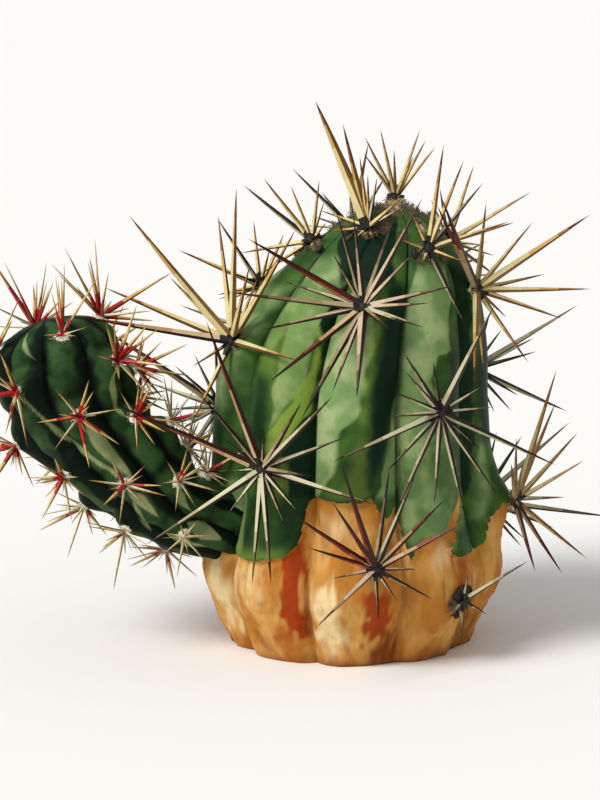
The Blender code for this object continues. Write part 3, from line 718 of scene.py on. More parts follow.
# Runs of tone down the green ribs: sage for painted light with bloom, yellow, deep for deep green and painted
# shade, and near-black painted shade in a crease. Each row is a height in mm with the run's two edges, from
# -1 in the furrow on a rib's left to 1 in the furrow on its right.
RUNS = (
    Run("sage", (0, 3, 5), 0.14, 1.0, (
        (52, -1.1, -0.85), (58, -1.1, -0.5), (66, -1.1, -0.38), (72, -1.1, -0.25), (78, -1.1, 0.1),
        (95, -1.1, 0.15), (104, -1.1, 0.05), (110, -0.7, -0.1))),
    Run("yellow", (0, 3, 5), 0.25, 0.45, (
        (52, -0.4, 0.2), (62, -0.1, 0.2), (74, 0.04, 0.22), (104, 0.06, 0.24))),
    Run("bridge", (0,), 0.06, 1.0, (
        (52, 0.4, 1.1), (59, 0.48, 1.1), (62, 0.58, 1.1), (67, 0.68, 1.1), (72, 0.75, 1.1),
        (79, 0.89, 1.1), (85, 1.0, 1.1))),
    Run("deep", (0, 3, 5), 0.3, 1.0, (
        (54, 0.2, 0.4), (59, 0.22, 0.48), (67, 0.25, 0.68), (72, 0.27, 0.75), (79, 0.29, 0.89),
        (85, 0.31, 1.1), (106, 0.35, 1.1), (112, 0.3, 0.8))),
    Run("deep", (0,), 0.5, 0.45, ((50, -0.45, 0.5), (62, -0.3, 0.5), (74, 0.0, 0.5))),
    Run("deep", (0,), 0.15, 1.0, (
        (112, -1.1, 0.62), (118, -1.1, 0.4), (123, -1.1, 0.27), (129, -1.1, 0.3))),
    Run("deep", (8,), 0.15, 1.0, (
        (112, 0.75, 1.1), (114, 0.63, 1.1), (118, 0.28, 1.1), (123, -0.73, 1.1), (129, -1.1, 1.1))),
    Run("sage", (8, 4, 6), 0.07, 0.7, (
        (70, 0.1, 0.12), (75.6, 0.12, 0.37), (79.7, 0.1, 0.57), (85.6, 0.06, 0.74), (92.5, 0.0, 0.75),
        (98.5, -0.1, 0.71), (105.6, -0.34, 0.8), (112, -0.8, 0.95), (118, -1.1, 0.3))),
    Run("sage", (8, 4, 6), 0.3, 0.5, ((93, -0.6, -0.2), (98, -0.9, -0.1), (110, -1.1, 0.0))),
    Run("yellow", (8, 4, 6), 0.5, 0.25, (
        (70, 0.1, 0.5), (84, 0.0, 0.7), (94, -0.8, 0.7), (108, -0.8, 0.7))),
    Run("yellow", (8, 4, 6), 0.07, 0.9, (
        (62, 0.0, 0.15), (64.1, 0.02, 0.29), (67.1, 0.05, 0.53), (69.7, 0.08, 0.64), (75.6, 0.37, 0.9),
        (79.7, 0.57, 0.97), (85.6, 0.74, 0.98), (92.5, 0.75, 0.92), (98.5, 0.71, 0.82),
        (102, 0.69, 0.73))),
    Run("yellow", (8,), 0.15, 0.4, ((50, 0.2, 0.5), (62, 0.1, 0.55))),
    Run("deep", (8, 4, 6), 0.06, 1.0, (
        (50, 0.58, 1.1), (59, 0.6, 1.1), (64.1, 0.4, 1.1), (67.1, 0.55, 1.1), (71.4, 0.73, 1.1),
        (75.9, 0.93, 1.1), (83, 1.0, 1.1), (90, 0.98, 1.1), (95.8, 0.9, 1.1), (102, 0.76, 1.1),
        (112, 0.85, 1.1))),
    Run("deep", (8,), 0.4, 0.6, ((60, -0.9, 0.3), (68, -0.8, 0.15), (78, -0.7, 0.05), (86, -0.4, 0.0))),
    Run("deep", (8,), 0.2, 0.6, ((34, -0.46, -0.08), (50, -0.5, -0.12))),
    Run("deep", (8,), 0.2, 0.5, ((35, 0.02, 0.25), (52, 0.05, 0.3))),
    Run("deep", (8,), 0.4, 0.7, ((35, 0.4, 1.1), (52, 0.35, 1.1))),
    Run("yellow", (8,), 0.4, 0.35, ((31, -0.9, 0.7), (35.5, -0.9, 0.7))),
    Run("sage", (1,), 0.1, 0.8, (
        (58, -1.1, -0.7), (71.2, -1.1, -0.3), (85.5, -1.1, -0.36), (91.9, -1.1, -0.25),
        (92.7, -1.1, 0.12), (100.9, -1.1, 0.13), (109.9, -0.9, 0.43), (116, -0.7, 0.6))),
    Run("sage", (1,), 0.3, 0.5, (
        (36, -0.8, 0.1), (44, -1.1, 0.15), (52.9, -1.1, -0.2), (66, -1.1, -0.3))),
    Run("sage", (1,), 0.5, 0.35, ((40, 0.0, 0.8), (60, -0.3, 0.5), (72, -0.3, 0.3))),
    Run("deep", (1,), 0.35, 0.8, (
        (46, 0.55, 1.1), (60, 0.3, 1.1), (76, 0.0, 1.1), (90, 0.1, 1.1), (94, 0.4, 1.1),
        (108, 0.7, 1.1))),
    Run("deep", (2,), 0.06, 0.9, (
        (46, -1.1, -0.95), (49, -1.1, -0.86), (55, -1.1, -0.77), (61, -1.1, -0.63), (90, -1.1, -0.68),
        (108, -1.1, -0.67), (116, -1.1, 0.2))),
    Run("sage", (2,), 0.2, 0.5, (
        (40, -0.9, -0.6), (50, -0.75, -0.45), (60, -0.6, -0.35), (68, -0.55, -0.4))),
    Run("deep", (2,), 0.6, 0.85, ((62, -0.6, 1.1), (80, -0.6, 1.1), (96, -0.5, 1.1), (112, -0.5, 1.1))),
    Run("deep", (1, 2), 0.4, 0.45, ((36, 0.6, 1.1), (42, 0.5, 1.1), (46, 0.6, 1.1))),
    Run("sage", (8,), 0.15, 0.7, ((33, -0.82, -0.48), (44, -0.82, -0.5), (54, -0.84, -0.58))),
    Run("sage", (7,), 0.4, 0.45, ((72, -0.2, 0.5), (85, -0.6, 0.6), (108, -1.1, 0.8))),
    Run("crease", (7,), 0.1, 1.0, (
        (33, 0.5, 0.62), (37, 0.4, 0.66), (43, 0.3, 0.6), (49, 0.2, 0.52), (53, 0.2, 0.4))),
    Run("sage", (7,), 0.2, 0.6, ((35, 0.7, 0.9), (40, 0.68, 0.95), (48, 0.6, 0.95), (52, 0.6, 0.8))),
    Run("deep", (7,), 0.5, 0.6, ((34, -1.1, 0.5), (60, -1.1, 0.6), (74, -1.1, 0.3))),
)
RIB_SPAN = 180.0 / RIBS   # half a rib in degrees
RUN_FADE = 4.0            # mm over which a run fades at its ends
FOOT_RADIUS = 42.0        # mean radius of the cork in mm
SHOWN_HALF = 92.0         # degrees from the front past which the cork's tones follow a rule
FOLD = 1.2 * MM           # relief of the cork's folds, of its wrinkles and of its splits
WRINKLE = 0.25 * MM
SPLIT = 0.5 * MM
GROOVE = 0.9 * MM         # depth of the sharp groove between two green ribs
NOTCH = 0.5 * MM          # depth of the crease over each areole
NOTCH_RISE = 7.5 * MM     # and its height over the areole
LIP = 0.35 * MM           # the swollen lip of a green lobe, its place over the edge and its width
LIP_PLACE = 1.3 * MM
LIP_WIDTH = 1.2 * MM
TIP_ROUNDING = 1.3 * MM   # how much fuller the tip is than its solid, at which height, how wide
TIP_PLACE = 128.3 * MM
TIP_WIDTH = 2.2 * MM
TIP_FADE = 12.0 * MM      # the relief fades out over this height under the tip


def spread(azimuth, height, spot, ragged, fibre):
    """How strongly a patch of tone covers each point, with a ragged rim."""
    across = np.degrees(turned(azimuth - math.radians(spot.azimuth))) / spot.wide
    up = (height / MM - spot.height) / spot.tall
    reach = (np.abs(across) ** 2.6 + np.abs(up) ** 2.6) ** (1 / 2.6)
    return spot.strength * smooth_step((1.0 + 0.35 * ragged + 0.5 * fibre - reach) / spot.rim)


def run_cover(azimuth, height, run, ragged):
    """How strongly a run of tone covers each point; it ends sharply in the furrows."""
    rows = np.array(run.rows, float)
    up = height / MM
    left = np.interp(up, rows[:, 0], rows[:, 1])
    right = np.interp(up, rows[:, 0], rows[:, 2])
    ends = smooth_step((up - rows[0, 0]) / RUN_FADE + 0.5) * smooth_step((rows[-1, 0] - up) / RUN_FADE + 0.5)
    cover = np.zeros_like(azimuth)
    for rib in run.ribs:
        across = np.degrees(turned(azimuth - FRONT_RIB - rib * RIB_PITCH)) / RIB_SPAN
        inside = smooth_step((1.0 - np.abs(across)) / 0.03 + 0.5)
        body = (smooth_step((across - left + 0.14 * ragged) / run.soft + 0.5)
                * smooth_step((right - across + 0.14 * ragged) / run.soft + 0.5))
        cover = np.maximum(cover, inside * body)
    return run.strength * cover * ends


def tones_on(azimuth, height, ragged, fibre):
    """The named tones of the stem's skin and cork, many of them painted light and painted shade, and where a
    furrow isn't bridged by painted light with bloom.
    """
    names = ("sage", "yellow", "deep", "crease", "pale", "rust", "dusk", "bridge")
    tones = {name: np.zeros_like(azimuth) for name in names}

    def lay(name, cover):
        tones[name] = np.maximum(tones[name], cover)

    for spot in SPOTS:
        lay(spot.tone, spread(azimuth, height, spot, ragged, fibre))
    for run in RUNS:
        lay(run.tone, run_cover(azimuth, height, run, ragged))
    across = ((azimuth - FRONT_RIB) / RIB_PITCH + 0.5) % 1.0 * 2.0 - 1.0
    up = height / MM
    # round the back, by rule: pale painted highlights on the lobes and rust red with painted shade towards
    # the furrows
    hidden = smooth_step((np.abs(turned(azimuth)) - math.radians(SHOWN_HALF)) / math.radians(12.0))
    drift = np.sin(3.0 * azimuth + 1.0) * np.cos(2.0 * azimuth + 70.0 * height)
    lobe_highlight = smooth_step((0.35 + 0.5 * drift - np.abs(across + 0.2 + 0.6 * ragged)) / 0.5)
    furrow_shade = smooth_step((np.abs(across + 0.3 * drift) - 0.75 + 0.7 * ragged - 0.35 * drift) / 0.3)
    lay("pale", 0.8 * hidden * lobe_highlight)
    lay("rust", 0.8 * hidden * furrow_shade)
    # where painted light with bloom bridges a furrow, that furrow gets none of the painted shade below
    bridge = tones.pop("bridge")
    bare = 1.0 - bridge
    groove = furrow((azimuth - FRONT_RIB) / math.tau, RIBS)
    # painted shade: deep green darkening each furrow, and a near-black crease of painted shade in its bottom
    lay("deep", 0.8 * bare * smooth_step((groove - 0.74) / 0.25) * (up > 36))
    lay("crease", 0.75 * bare * smooth_step((groove - 0.9) / 0.1) * (up > 30))
    lay("sage", 0.85 * bridge)
    # painted shade, darker towards the ground
    lay("dusk", 0.9 * smooth_step((6.0 + 4.0 * ragged - up) / 10.0))
    return tones, bare


def cork_edge(azimuth, height, ragged, fine):
    """Height of a point over the end of the cork in metres, less than 0 on the cork."""
    start = CORK_TOP[0][0]
    degrees = (np.degrees(azimuth) - start) % 360.0 + start
    line = np.array(CORK_TOP, float)
    top = np.interp(degrees, line[:, 0], line[:, 1])
    over = height - (top + 1.0 * ragged + 0.5 * fine) * MM
    (first, low), (last, high), half = CORK_TONGUE
    reach = FOOT_RADIUS * math.radians(1.0)      # mm on the skin for each degree
    run = np.array(((last - first) * reach, high - low))
    place = np.stack([(degrees - first) * reach, height / MM - low], axis=-1)
    share = np.clip(place @ run / (run @ run), 0.0, 1.0)
    off = np.linalg.norm(place - share[..., None] * run, axis=-1) - half * (1.0 - 0.5 * share) - 0.4 * fine
    return np.minimum(over, off * MM)


def make_stem_skin(finish):
    """The whole stem: ribs with green lobes standing over the cork, crossed by notches and folds."""
    heights = STEM_HEIGHT * (1.0 - (1.0 - np.arange(STEM_RINGS) / STEM_RINGS) ** 1.2)
    turns = FRONT_RIB + math.tau * np.arange(STEM_SIDES) / STEM_SIDES
    height, azimuth = np.meshgrid(heights, turns, indexing="ij")
    base = stem_surface(azimuth, height)
    ragged = lumps(base, 6 * MM, 1)
    fine = lumps(base, 1.7 * MM, 2)
    broad = lumps(base, 16 * MM, 3)
    folds = lumps(base * (1.0, 1.0, 0.25), 6 * MM, 4)
    wrinkles = lumps(base * (0.3, 0.3, 1.0), 2.6 * MM, 5)
    fibre = lumps(base * (1.0, 1.0, 0.12), 1.6 * MM, 10)
    tones, bare = tones_on(azimuth, height, ragged, fibre)

    over = cork_edge(azimuth, height, ragged, fine)
    green = smooth_step(over / (0.8 * MM) + 0.5)
    open_split = smooth_step((lumps(base * (1.0, 1.0, 0.4), 6 * MM, 9) - 0.05) / 0.3)
    crack = bell(lumps(base * (1.0, 1.0, 0.07), 6 * MM, 8), 0.06) * open_split * (1.0 - green)
    fade = np.minimum(1.0, (STEM_HEIGHT - height) / TIP_FADE)
    groove = furrow((azimuth - FRONT_RIB) / math.tau, RIBS)
    proud = 0.4 * MM * broad * fade + LOBE_STEP * (green - 0.6) * fade
    proud += LIP * bell(over - LIP_PLACE, LIP_WIDTH)
    proud += (1.0 - green) * (FOLD * folds + WRINKLE * wrinkles + 0.2 * MM * fine) - SPLIT * crack
    proud += TIP_ROUNDING * bell(height - TIP_PLACE, TIP_WIDTH)
    proud -= GROOVE * smooth_step((groove - 0.84) / 0.16) * green * fade * bare
    radius = stem_radius(azimuth, height)
    for areole in AREOLES:
        turn = turned(azimuth - areole_azimuth(areole)) * radius
        above = height - areole.height * MM - NOTCH_RISE - 0.015 * turn ** 2 / MM
        proud -= NOTCH * bell(turn, 7 * MM) * bell(above, 1.3 * MM) * green * (1.0 - groove)

    points = stem_surface(azimuth, height, proud)
    points[0, :, 2] = 0.0
    tones["over"] = over / MM
    tones["crack"] = 0.35 * crack
    tip = (float(lean(STEM_HEIGHT)), 0.0, STEM_HEIGHT - 0.4 * MM)
    return ringed_skin("stem_skin", points, (0.0, 0.0, 0.0), tip, tones, finish)


# ---- arm ----------------------------------------------------------------------------------
ARM_SIDES = 224
ARM_RINGS = 230
Wedge = namedtuple("Wedge", "rib place end_rib end_place half widest")
# Pale wedges on the side that faces the light: where they start and end as a rib and a place
# in mm, half the width in mm and the share of the length where they are widest.
WEDGES = (
    Wedge(7.05, 73, 8.0, 41, 1.2, 0.6), Wedge(8.05, 59, 8.22, 38, 2.4, 0.35),
    Wedge(7.95, 37, 8.0, 24, 1.9, 0.4), Wedge(7.8, 33, 7.35, 22, 1.4, 0.4),
    Wedge(8.88, 27, 8.7, 16, 1.4, 0.4), Wedge(8.35, 17, 8.2, 6, 2.4, 0.5),
    Wedge(7.65, 20, 7.6, 8, 2.4, 0.5), Wedge(6.75, 88, 7.35, 80, 0.7, 0.5),
)
ARM_CHOSEN_RIBS = (0, 7)  # the ribs whose wedges are in the list; the others follow the rule
BARE_RIB = (1, 60 * MM)   # a rib in shade that has no wedge nearer the stem than this
WEDGE_STRENGTH = 0.75
ARM_TIP_FADE = 8.0 * MM   # the relief fades out over this length before the tip
ARM_NOTCH = 2.0 * MM      # depth of the crease over each areole
ARM_NOTCH_PLACE = 5.2 * MM
ARM_SHELF = 0.5 * MM      # swelling of the shelf under it
ARM_SHELF_DROP = 6.0 * MM


def arm_wedges():
    """The listed wedges, and one under each areole of every other rib."""
    draw = random.Random("wedges")
    wedges = list(WEDGES)
    for rib, place in ARM_AREOLES:
        drop = draw.uniform(0.45, 0.85) * ARM_AREOLE_PITCH / MM
        made = Wedge(rib, place / MM - 3.0, rib + draw.uniform(-0.2, 0.2), place / MM - 3.0 - drop,
                     draw.uniform(0.5, 1.5), 0.4)
        if rib not in ARM_CHOSEN_RIBS and not (rib == BARE_RIB[0] and place < BARE_RIB[1]):
            wedges.append(made)
    return wedges


def arm_aside(angle, along, rib):
    """Distance round the arm from the crest of a rib."""
    return turned(angle - arm_rib_angle(rib, along)) * arm_crest(along)


def arm_facets(angle, along, ragged):
    """How much of each pale wedge of painted light covers a point."""
    cover = np.zeros_like(angle)
    for wedge in arm_wedges():
        share = (wedge.place * MM - along) / ((wedge.place - wedge.end_place) * MM)
        rib = wedge.rib + (wedge.end_rib - wedge.rib) * np.clip(share, 0.0, 1.0)
        rise = np.clip(share / wedge.widest, 0.0, 1.0)
        fall = np.clip((1.0 - share) / (1.0 - wedge.widest), 0.0, 1.0)
        half = wedge.half * MM * np.minimum(rise, fall) ** 0.7
        aside = np.abs(arm_aside(angle, along, rib))
        body = smooth_step((half - aside + 0.4 * MM * ragged) / (0.5 * MM) + 0.5)
        cover = np.maximum(cover, body * (share > 0.0) * (share < 1.0) * (half > 0.15 * MM))
    return WEDGE_STRENGTH * cover


def make_arm_skin(finish):
    """The arm: dark ribs with painted shade on one flank and in the furrows, pale wedges of painted light on
    their crests, and a notch over each areole.
    """
    alongs = ARM_LENGTH * (1.0 - (1.0 - np.arange(ARM_RINGS) / ARM_RINGS) ** 1.3)
    along, turn = np.meshgrid(alongs, math.tau * np.arange(ARM_SIDES) / ARM_SIDES, indexing="ij")
    angle = turn + arm_rib_angle(0, along)
    base = arm_surface(angle, along)
    ragged = lumps(base, 5 * MM, 5)
    fine = lumps(base, 1.5 * MM, 6)
    fade = np.minimum(1.0, (ARM_LENGTH - along) / ARM_TIP_FADE)
    groove = furrow(turn / math.tau, ARM_RIBS)
    across = (turn / math.tau * ARM_RIBS + 0.5) % 1.0 * 2.0 - 1.0
    proud = (0.3 * ragged + 0.05 * fine) * MM * fade - 0.6 * MM * smooth_step((groove - 0.82) / 0.18) * fade
    for rib, place in ARM_AREOLES:
        aside = arm_aside(angle, along, rib)
        above = along - place - ARM_NOTCH_PLACE
        notch = bell(aside, 6.5 * MM) * bell(above, 2.0 * MM)
        shelf = bell(aside, 6.0 * MM) * bell(above + ARM_SHELF_DROP, 3.5 * MM)
        proud += (ARM_SHELF * shelf - ARM_NOTCH * notch) * fade
    # the wedges are painted light
    sage = arm_facets(angle, along, ragged)
    bare = 1.0 - sage
    # painted shade on the flank turned from the light and in the furrows, and a near-black crease of painted
    # shade in each furrow's bottom
    shaded = np.maximum(smooth_step((groove - 0.3 + 0.4 * ragged) / 0.4),
                        smooth_step((across - 0.15 + 0.3 * ragged) / 0.3))
    tones = {
        "sage": sage, "deep": 0.95 * bare * shaded,
        "crease": 0.8 * bare * smooth_step((groove - 0.85) / 0.15),
        "yellow": 0.3 * smooth_step((lumps(base, 8 * MM, 7) - 0.2) / 0.3),
    }
    ends = [arm_centre(np.float64(place)) for place in (0.0, ARM_LENGTH)]
    return ringed_skin("arm_skin", arm_surface(angle, along, proud), *ends, tones, finish)


# ---- spines -------------------------------------------------------------------------------
# Each kind of spine: its colours from root to tip on the side that takes the painted light, and on the other
# side, in painted shade.
SPINE_KINDS = {
    "straw": (("#B3AA88", "#C6BF9E", "#C4BB97", "#A89A73", "#6C5A40", "#1C150E"),
              ("#27201A", "#241C16", "#201812", "#1A130E", "#140E0A", "#0C0806")),
    "horn": (("#A59776", "#A59470", "#937F5D", "#715A3F", "#3F2F20", "#14100B"),
             ("#221A14", "#1F1712", "#1B140F", "#16100C", "#110C09", "#0B0806")),
    "rosy": (("#B5A085", "#C8B196", "#BEA688", "#9C7F62", "#604631", "#1E130D"),
             ("#2F2018", "#2B1C15", "#251811", "#1E130E", "#170E0A", "#0E0806")),
    "gold": (("#D6C28A", "#DBCB95", "#D3BC7E", "#C29A57", "#996833", "#523017"),
             ("#866638", "#7E5E30", "#704F27", "#60401D", "#4B2E15", "#301C0D")),
    "oxblood": (("#C6AF8C", "#C4A67E", "#B0875F", "#763023", "#4C1511", "#1E0A09"),
                ("#34190F", "#33150E", "#30110C", "#2A0E0B", "#1E0A08", "#110605")),
    "garnet": (("#A98A68", "#A05A3C", "#84261B", "#5E1713", "#3A0F0E", "#180707"),
               ("#45110E", "#3E0F0D", "#340D0B", "#290A09", "#1B0707", "#0F0505")),
    "ivory": (("#E2D8B4", "#E4DCB9", "#DCCFA0", "#CBB479", "#B4944F", "#8A683A"),
              ("#9A8A62", "#968558", "#8A7547", "#7A6235", "#664C26", "#4A3418")),
    "crimson": (("#A91B1B", "#B6221F", "#CBA05C", "#D2B673", "#C8AA62", "#A98540"),
                ("#6A1012", "#741617", "#83602F", "#8B6C3A", "#876A35", "#6E5127")),
}
BAND_STARTS = (-0.2, 0.14, 0.34, 0.53, 0.71, 0.87)     # share of the length; the first covers the root
LIT_FROM = Vector((-0.9, -0.1, 0.35))    # the side of each spine that takes the painted light; the other side takes painted shade
OXBLOOD_SPINES = {        # the spines that redden towards the tip: star and numbers of its spines
    "spines_front_low": (6, 7), "spines_left_high": (2,), "spines_left_front_middle": (0, 2),
    "spines_front_high": (17,), "spines_right_low": (6, 7), "spines_right_high": (0, 1),
}
GARNET_SPINES = {         # the spines that are dark red from the root on
    "spines_front_low": (0, 1, 2, 3), "spines_front_high": (0,),
}
STOUT_SPINES = {          # the thickest spines: star, number and how much thicker they are
    ("spines_left_front_top", 0): 1.75, ("spines_left_front_top", 1): 1.3, ("spines_front_high", 14): 1.2,
    ("spines_left_high", 0): 1.15, ("spines_right_high", 4): 1.2, ("spines_front_high", 0): 1.15,
}
GOLD_STARS = (
    "spines_left_high", "spines_left_top", "spines_right_high", "spines_right_low",
    "spines_left_front_top", "spines_right_front_top", "spines_crown", "spines_right_back_high",
    "spines_left_back_high",
)
ROSY_STARS = ("spines_front_high", "spines_front_low")
YOUNG_PLACE = 48          # place on the arm in mm past which most spines are red at the root
RED_SHARE = (0.12, 0.6)   # share of red spines before that place and past it
BRISTLES = 6              # fine short spines of a star on the arm, and the first one's number
BRISTLE_FIRST = 50
BRISTLE_RADIUS = 0.24 * MM
PLUME_FIRST = 100         # numbers of the spines that stand up as a plume
PLUME_RADIUS = 0.42 * MM
PLUME_SPREAD = 38.0       # degrees to either side of straight up
PLUME_HEIGHT = 0.71 * STEM_HEIGHT        # over this height the plume is full
FULL_PLUME = (6, (12.0, 24.0))           # number of spines and their lengths in mm
SPARSE_PLUME = (2, (9.0, 14.0))
STOUTNESS = 0.9           # a spine's radius as a share of its solid's, and a red spine's
RED_STOUTNESS = 1.25
BURIED = (2.0, 4.6)       # mm of a spine of the stem that its star's crust covers
RIPENESS = 0.07           # how far the colours shift along a spine, as a share of its length
RED_SHIFT = -0.06
VECTORS = ("axis", "light", "size", "bend")     # the values of a root that aren't plain numbers


def woody_spine(name, colour):
    """A cactus spine, grown: hard dry wood, smooth and a little glossy, with flat sides."""
    return new_material("woody_spine_" + name, colour, 0.45, Specular_IOR_Level=0.22)


def tree_with(name, sockets):
    """A geometry node tree with named inputs; returns it, its input sockets and its output sockets."""
    kinds = {int: "NodeSocketInt", float: "NodeSocketFloat", type(None): "NodeSocketMaterial"}
    tree = bpy.data.node_groups.new(name, "GeometryNodeTree")
    for way in ("INPUT", "OUTPUT"):
        tree.interface.new_socket("Geometry", in_out=way, socket_type="NodeSocketGeometry")
    for socket, value in sockets.items():
        made = tree.interface.new_socket(socket, in_out="INPUT", socket_type=kinds[type(value)])
        made.default_value = value
    return tree, tree.nodes.new("NodeGroupInput").outputs, tree.nodes.new("NodeGroupOutput").inputs


def planted(tree, inputs, shape, own):
    """The shape on every point, turned to the point's axis and towards its light, as a mesh."""
    turn = add(tree, "FunctionNodeAxesToRotation", {
        "Primary Axis": own["axis"], "Secondary Axis": own["light"]}, primary_axis="Z", secondary_axis="X")
    made = add(tree, "GeometryNodeInstanceOnPoints", {
        "Points": inputs["Geometry"], "Instance": shape, "Rotation": turn, "Scale": own["size"]})
    return add(tree, "GeometryNodeRealizeInstances", {"Geometry": made})


def point_cloud(name, rows, fields):
    """Loose points, each with its named values; a row is the point and then its values."""
    source = new_piece(name, [row[0] for row in rows], [], ())
    for index, field in enumerate(fields, 1):
        values = [row[index] for row in rows]
        if isinstance(values[0], (int, float)):
            store(source, field, values)
        else:
            store(source, field, [tuple(value) for value in values], "FLOAT_VECTOR")
    return source


def grown_by(tree, source, values, name):
    """Runs a tree on an object and keeps the result as a plain mesh in a new object."""
    modifier = source.modifiers.new("grow", "NODES")
    modifier.node_group = tree
    for item in tree.interface.items_tree:
        if item.in_out == "INPUT" and item.name in values:
            modifier[item.identifier] = values[item.name]
    graph = bpy.context.evaluated_depsgraph_get()
    mesh = bpy.data.meshes.new_from_object(source.evaluated_get(graph))
    source.modifiers.clear()
    bpy.data.objects.remove(source)
    mesh.name = name
    made = bpy.data.objects.new(name, mesh)
    bpy.context.scene.collection.objects.link(made)
    return made


def spine_tree(bands):
    """Angular tapering spines, one for each point, bent a little and coloured in bands, with painted light on
    the faces towards the light and painted shade on the others.
    """
    tree, inputs, output = tree_with("angular_spines", {
        "Sides": 4, "Rings": 10, "Taper": 0.68, "Root swelling": 0.15, "Crust": None})
    own = {name: add(tree, "GeometryNodeInputNamedAttribute", {"Name": name}, "Attribute",
                     data_type="FLOAT_VECTOR" if name in VECTORS else "FLOAT")
           for name in VECTORS + ("kind", "ripeness", "buried", "along", "pale_side")}
    cone = add(tree, "GeometryNodeMeshCone", {
        "Vertices": inputs["Sides"], "Side Segments": inputs["Rings"],
        "Radius Top": 1.0, "Radius Bottom": 1.0, "Depth": 1.0}, "Mesh", fill_type="NGON")
    place = add(tree, "GeometryNodeInputPosition")
    x, y, z = add(tree, "ShaderNodeSeparateXYZ", {"Vector": place}).node.outputs
    # the rings crowd towards the root; the width falls off as a power of what is left of the
    # length, and the root's swelling as a much steeper one
    height = add(tree, "ShaderNodeMath", {0: z, 1: 0.0}, operation="MAXIMUM")
    height = add(tree, "ShaderNodeMath", {0: height, 1: 1.5}, operation="POWER")
    left = add(tree, "ShaderNodeMath", {0: 1.0, 1: height}, operation="SUBTRACT")
    left = add(tree, "ShaderNodeMath", {0: left, 1: 0.0005}, operation="MAXIMUM")
    taper = add(tree, "ShaderNodeMath", {0: left, 1: inputs["Taper"]}, operation="POWER")
    bulb = add(tree, "ShaderNodeMath", {0: left, 1: 24.0}, operation="POWER")
    bulb = add(tree, "ShaderNodeMath", {0: bulb, 1: inputs["Root swelling"]}, operation="MULTIPLY")
    width = add(tree, "ShaderNodeMath", {0: taper, 1: bulb}, operation="ADD")
    wide = add(tree, "ShaderNodeMath", {0: x, 1: width}, operation="MULTIPLY")
    deep = add(tree, "ShaderNodeMath", {0: y, 1: width}, operation="MULTIPLY")
    shaped = add(tree, "ShaderNodeCombineXYZ", {"X": wide, "Y": deep, "Z": height})
    shape = add(tree, "GeometryNodeSetPosition", {"Geometry": cone, "Position": shaped})
    shape = add(tree, "GeometryNodeStoreNamedAttribute", {
        "Geometry": shape, "Name": "along", "Value": z}, data_type="FLOAT", domain="POINT")
    # the faces on the positive side take the painted light, the others the painted shade
    shape = add(tree, "GeometryNodeStoreNamedAttribute", {
        "Geometry": shape, "Name": "pale_side", "Value": x}, data_type="FLOAT", domain="FACE")
    flow = planted(tree, inputs, shape, own)
    arch = add(tree, "ShaderNodeMath", {0: own["along"], 1: own["along"]}, operation="MULTIPLY")
    bend = add(tree, "ShaderNodeVectorMath", {"Vector": own["bend"], "Scale": arch}, operation="SCALE")
    flow = add(tree, "GeometryNodeSetPosition", {"Geometry": flow, "Offset": bend})
    flow = add(tree, "GeometryNodeSetShadeSmooth", {"Geometry": flow, "Shade Smooth": False})
    ripe = add(tree, "ShaderNodeMath", {0: own["along"], 1: own["ripeness"]}, operation="ADD")
    # each band of a kind goes on its painted-light faces or on its painted-shade faces, from its start along
    # the spine
    for number, shaded, start, finish in bands:
        same = add(tree, "ShaderNodeMath", {0: own["kind"], 1: float(number), 2: 0.5}, operation="COMPARE")
        facing = add(tree, "ShaderNodeMath", {0: own["pale_side"], 1: 0.0},
                     operation="LESS_THAN" if shaded else "GREATER_THAN")
        past = add(tree, "ShaderNodeMath", {0: ripe, 1: start}, operation="GREATER_THAN")
        chosen = add(tree, "ShaderNodeMath", {0: same, 1: facing}, operation="MULTIPLY")
        chosen = add(tree, "ShaderNodeMath", {0: chosen, 1: past}, operation="MULTIPLY")
        flow = add(tree, "GeometryNodeSetMaterial", {
            "Geometry": flow, "Selection": chosen, "Material": finish})
    long = add(tree, "ShaderNodeSeparateXYZ", {"Vector": own["size"]}, "Z")
    depth = add(tree, "ShaderNodeMath", {0: own["along"], 1: long}, operation="MULTIPLY")
    buried = add(tree, "ShaderNodeMath", {0: depth, 1: own["buried"]}, operation="LESS_THAN")
    flow = add(tree, "GeometryNodeSetMaterial", {
        "Geometry": flow, "Selection": buried, "Material": inputs["Crust"]})
    tree.links.new(flow, output["Geometry"])
    return tree


def spine_kind(star, number, draw):
    """The kind of a spine: a chosen one, or one dealt out by its star's rule."""
    pick = draw.random()
    if "_arm_" in star.node:
        young = int(star.node[-2:]) > YOUNG_PLACE
        red = pick < RED_SHARE[young] or number < (ARM_CENTRALS if young else 1)
        return "crimson" if red or (young and number >= PLUME_FIRST) else "ivory"
    if number in GARNET_SPINES.get(star.node, ()):
        return "garnet"
    if number in OXBLOOD_SPINES.get(star.node, ()):
        return "oxblood"
    if star.node in GOLD_STARS:
        return "gold" if pick < 0.93 else "straw"
    if star.node in ROSY_STARS and pick < 0.45:
        return "rosy"
    return "straw" if pick < 0.68 else "horn"


def bristles(star, draw):
    """Fine short spines between the others of a star on the arm, and a plume that turns upwards."""
    point, side, up, normal = star.spot
    made = []
    for i in range(BRISTLES):
        root, tip = spine_axis(star.spot, star.pad, 60.0 * i + draw.uniform(0.0, 60.0),
                               draw.uniform(18.0, 50.0), draw.uniform(4.5, 8.5))
        made.append((BRISTLE_FIRST + i, root, tip, BRISTLE_RADIUS))
    sky = math.degrees(math.atan2(side.z, up.z))
    count, lengths = FULL_PLUME if point.z > PLUME_HEIGHT else SPARSE_PLUME
    for i in range(count):
        length = draw.uniform(*lengths)
        clock = sky + draw.uniform(-PLUME_SPREAD, PLUME_SPREAD)
        root, tip = spine_axis(star.spot, star.pad, clock, draw.uniform(18.0, 62.0), length)
        made.append((PLUME_FIRST + i, root, tip, PLUME_RADIUS))
    return made


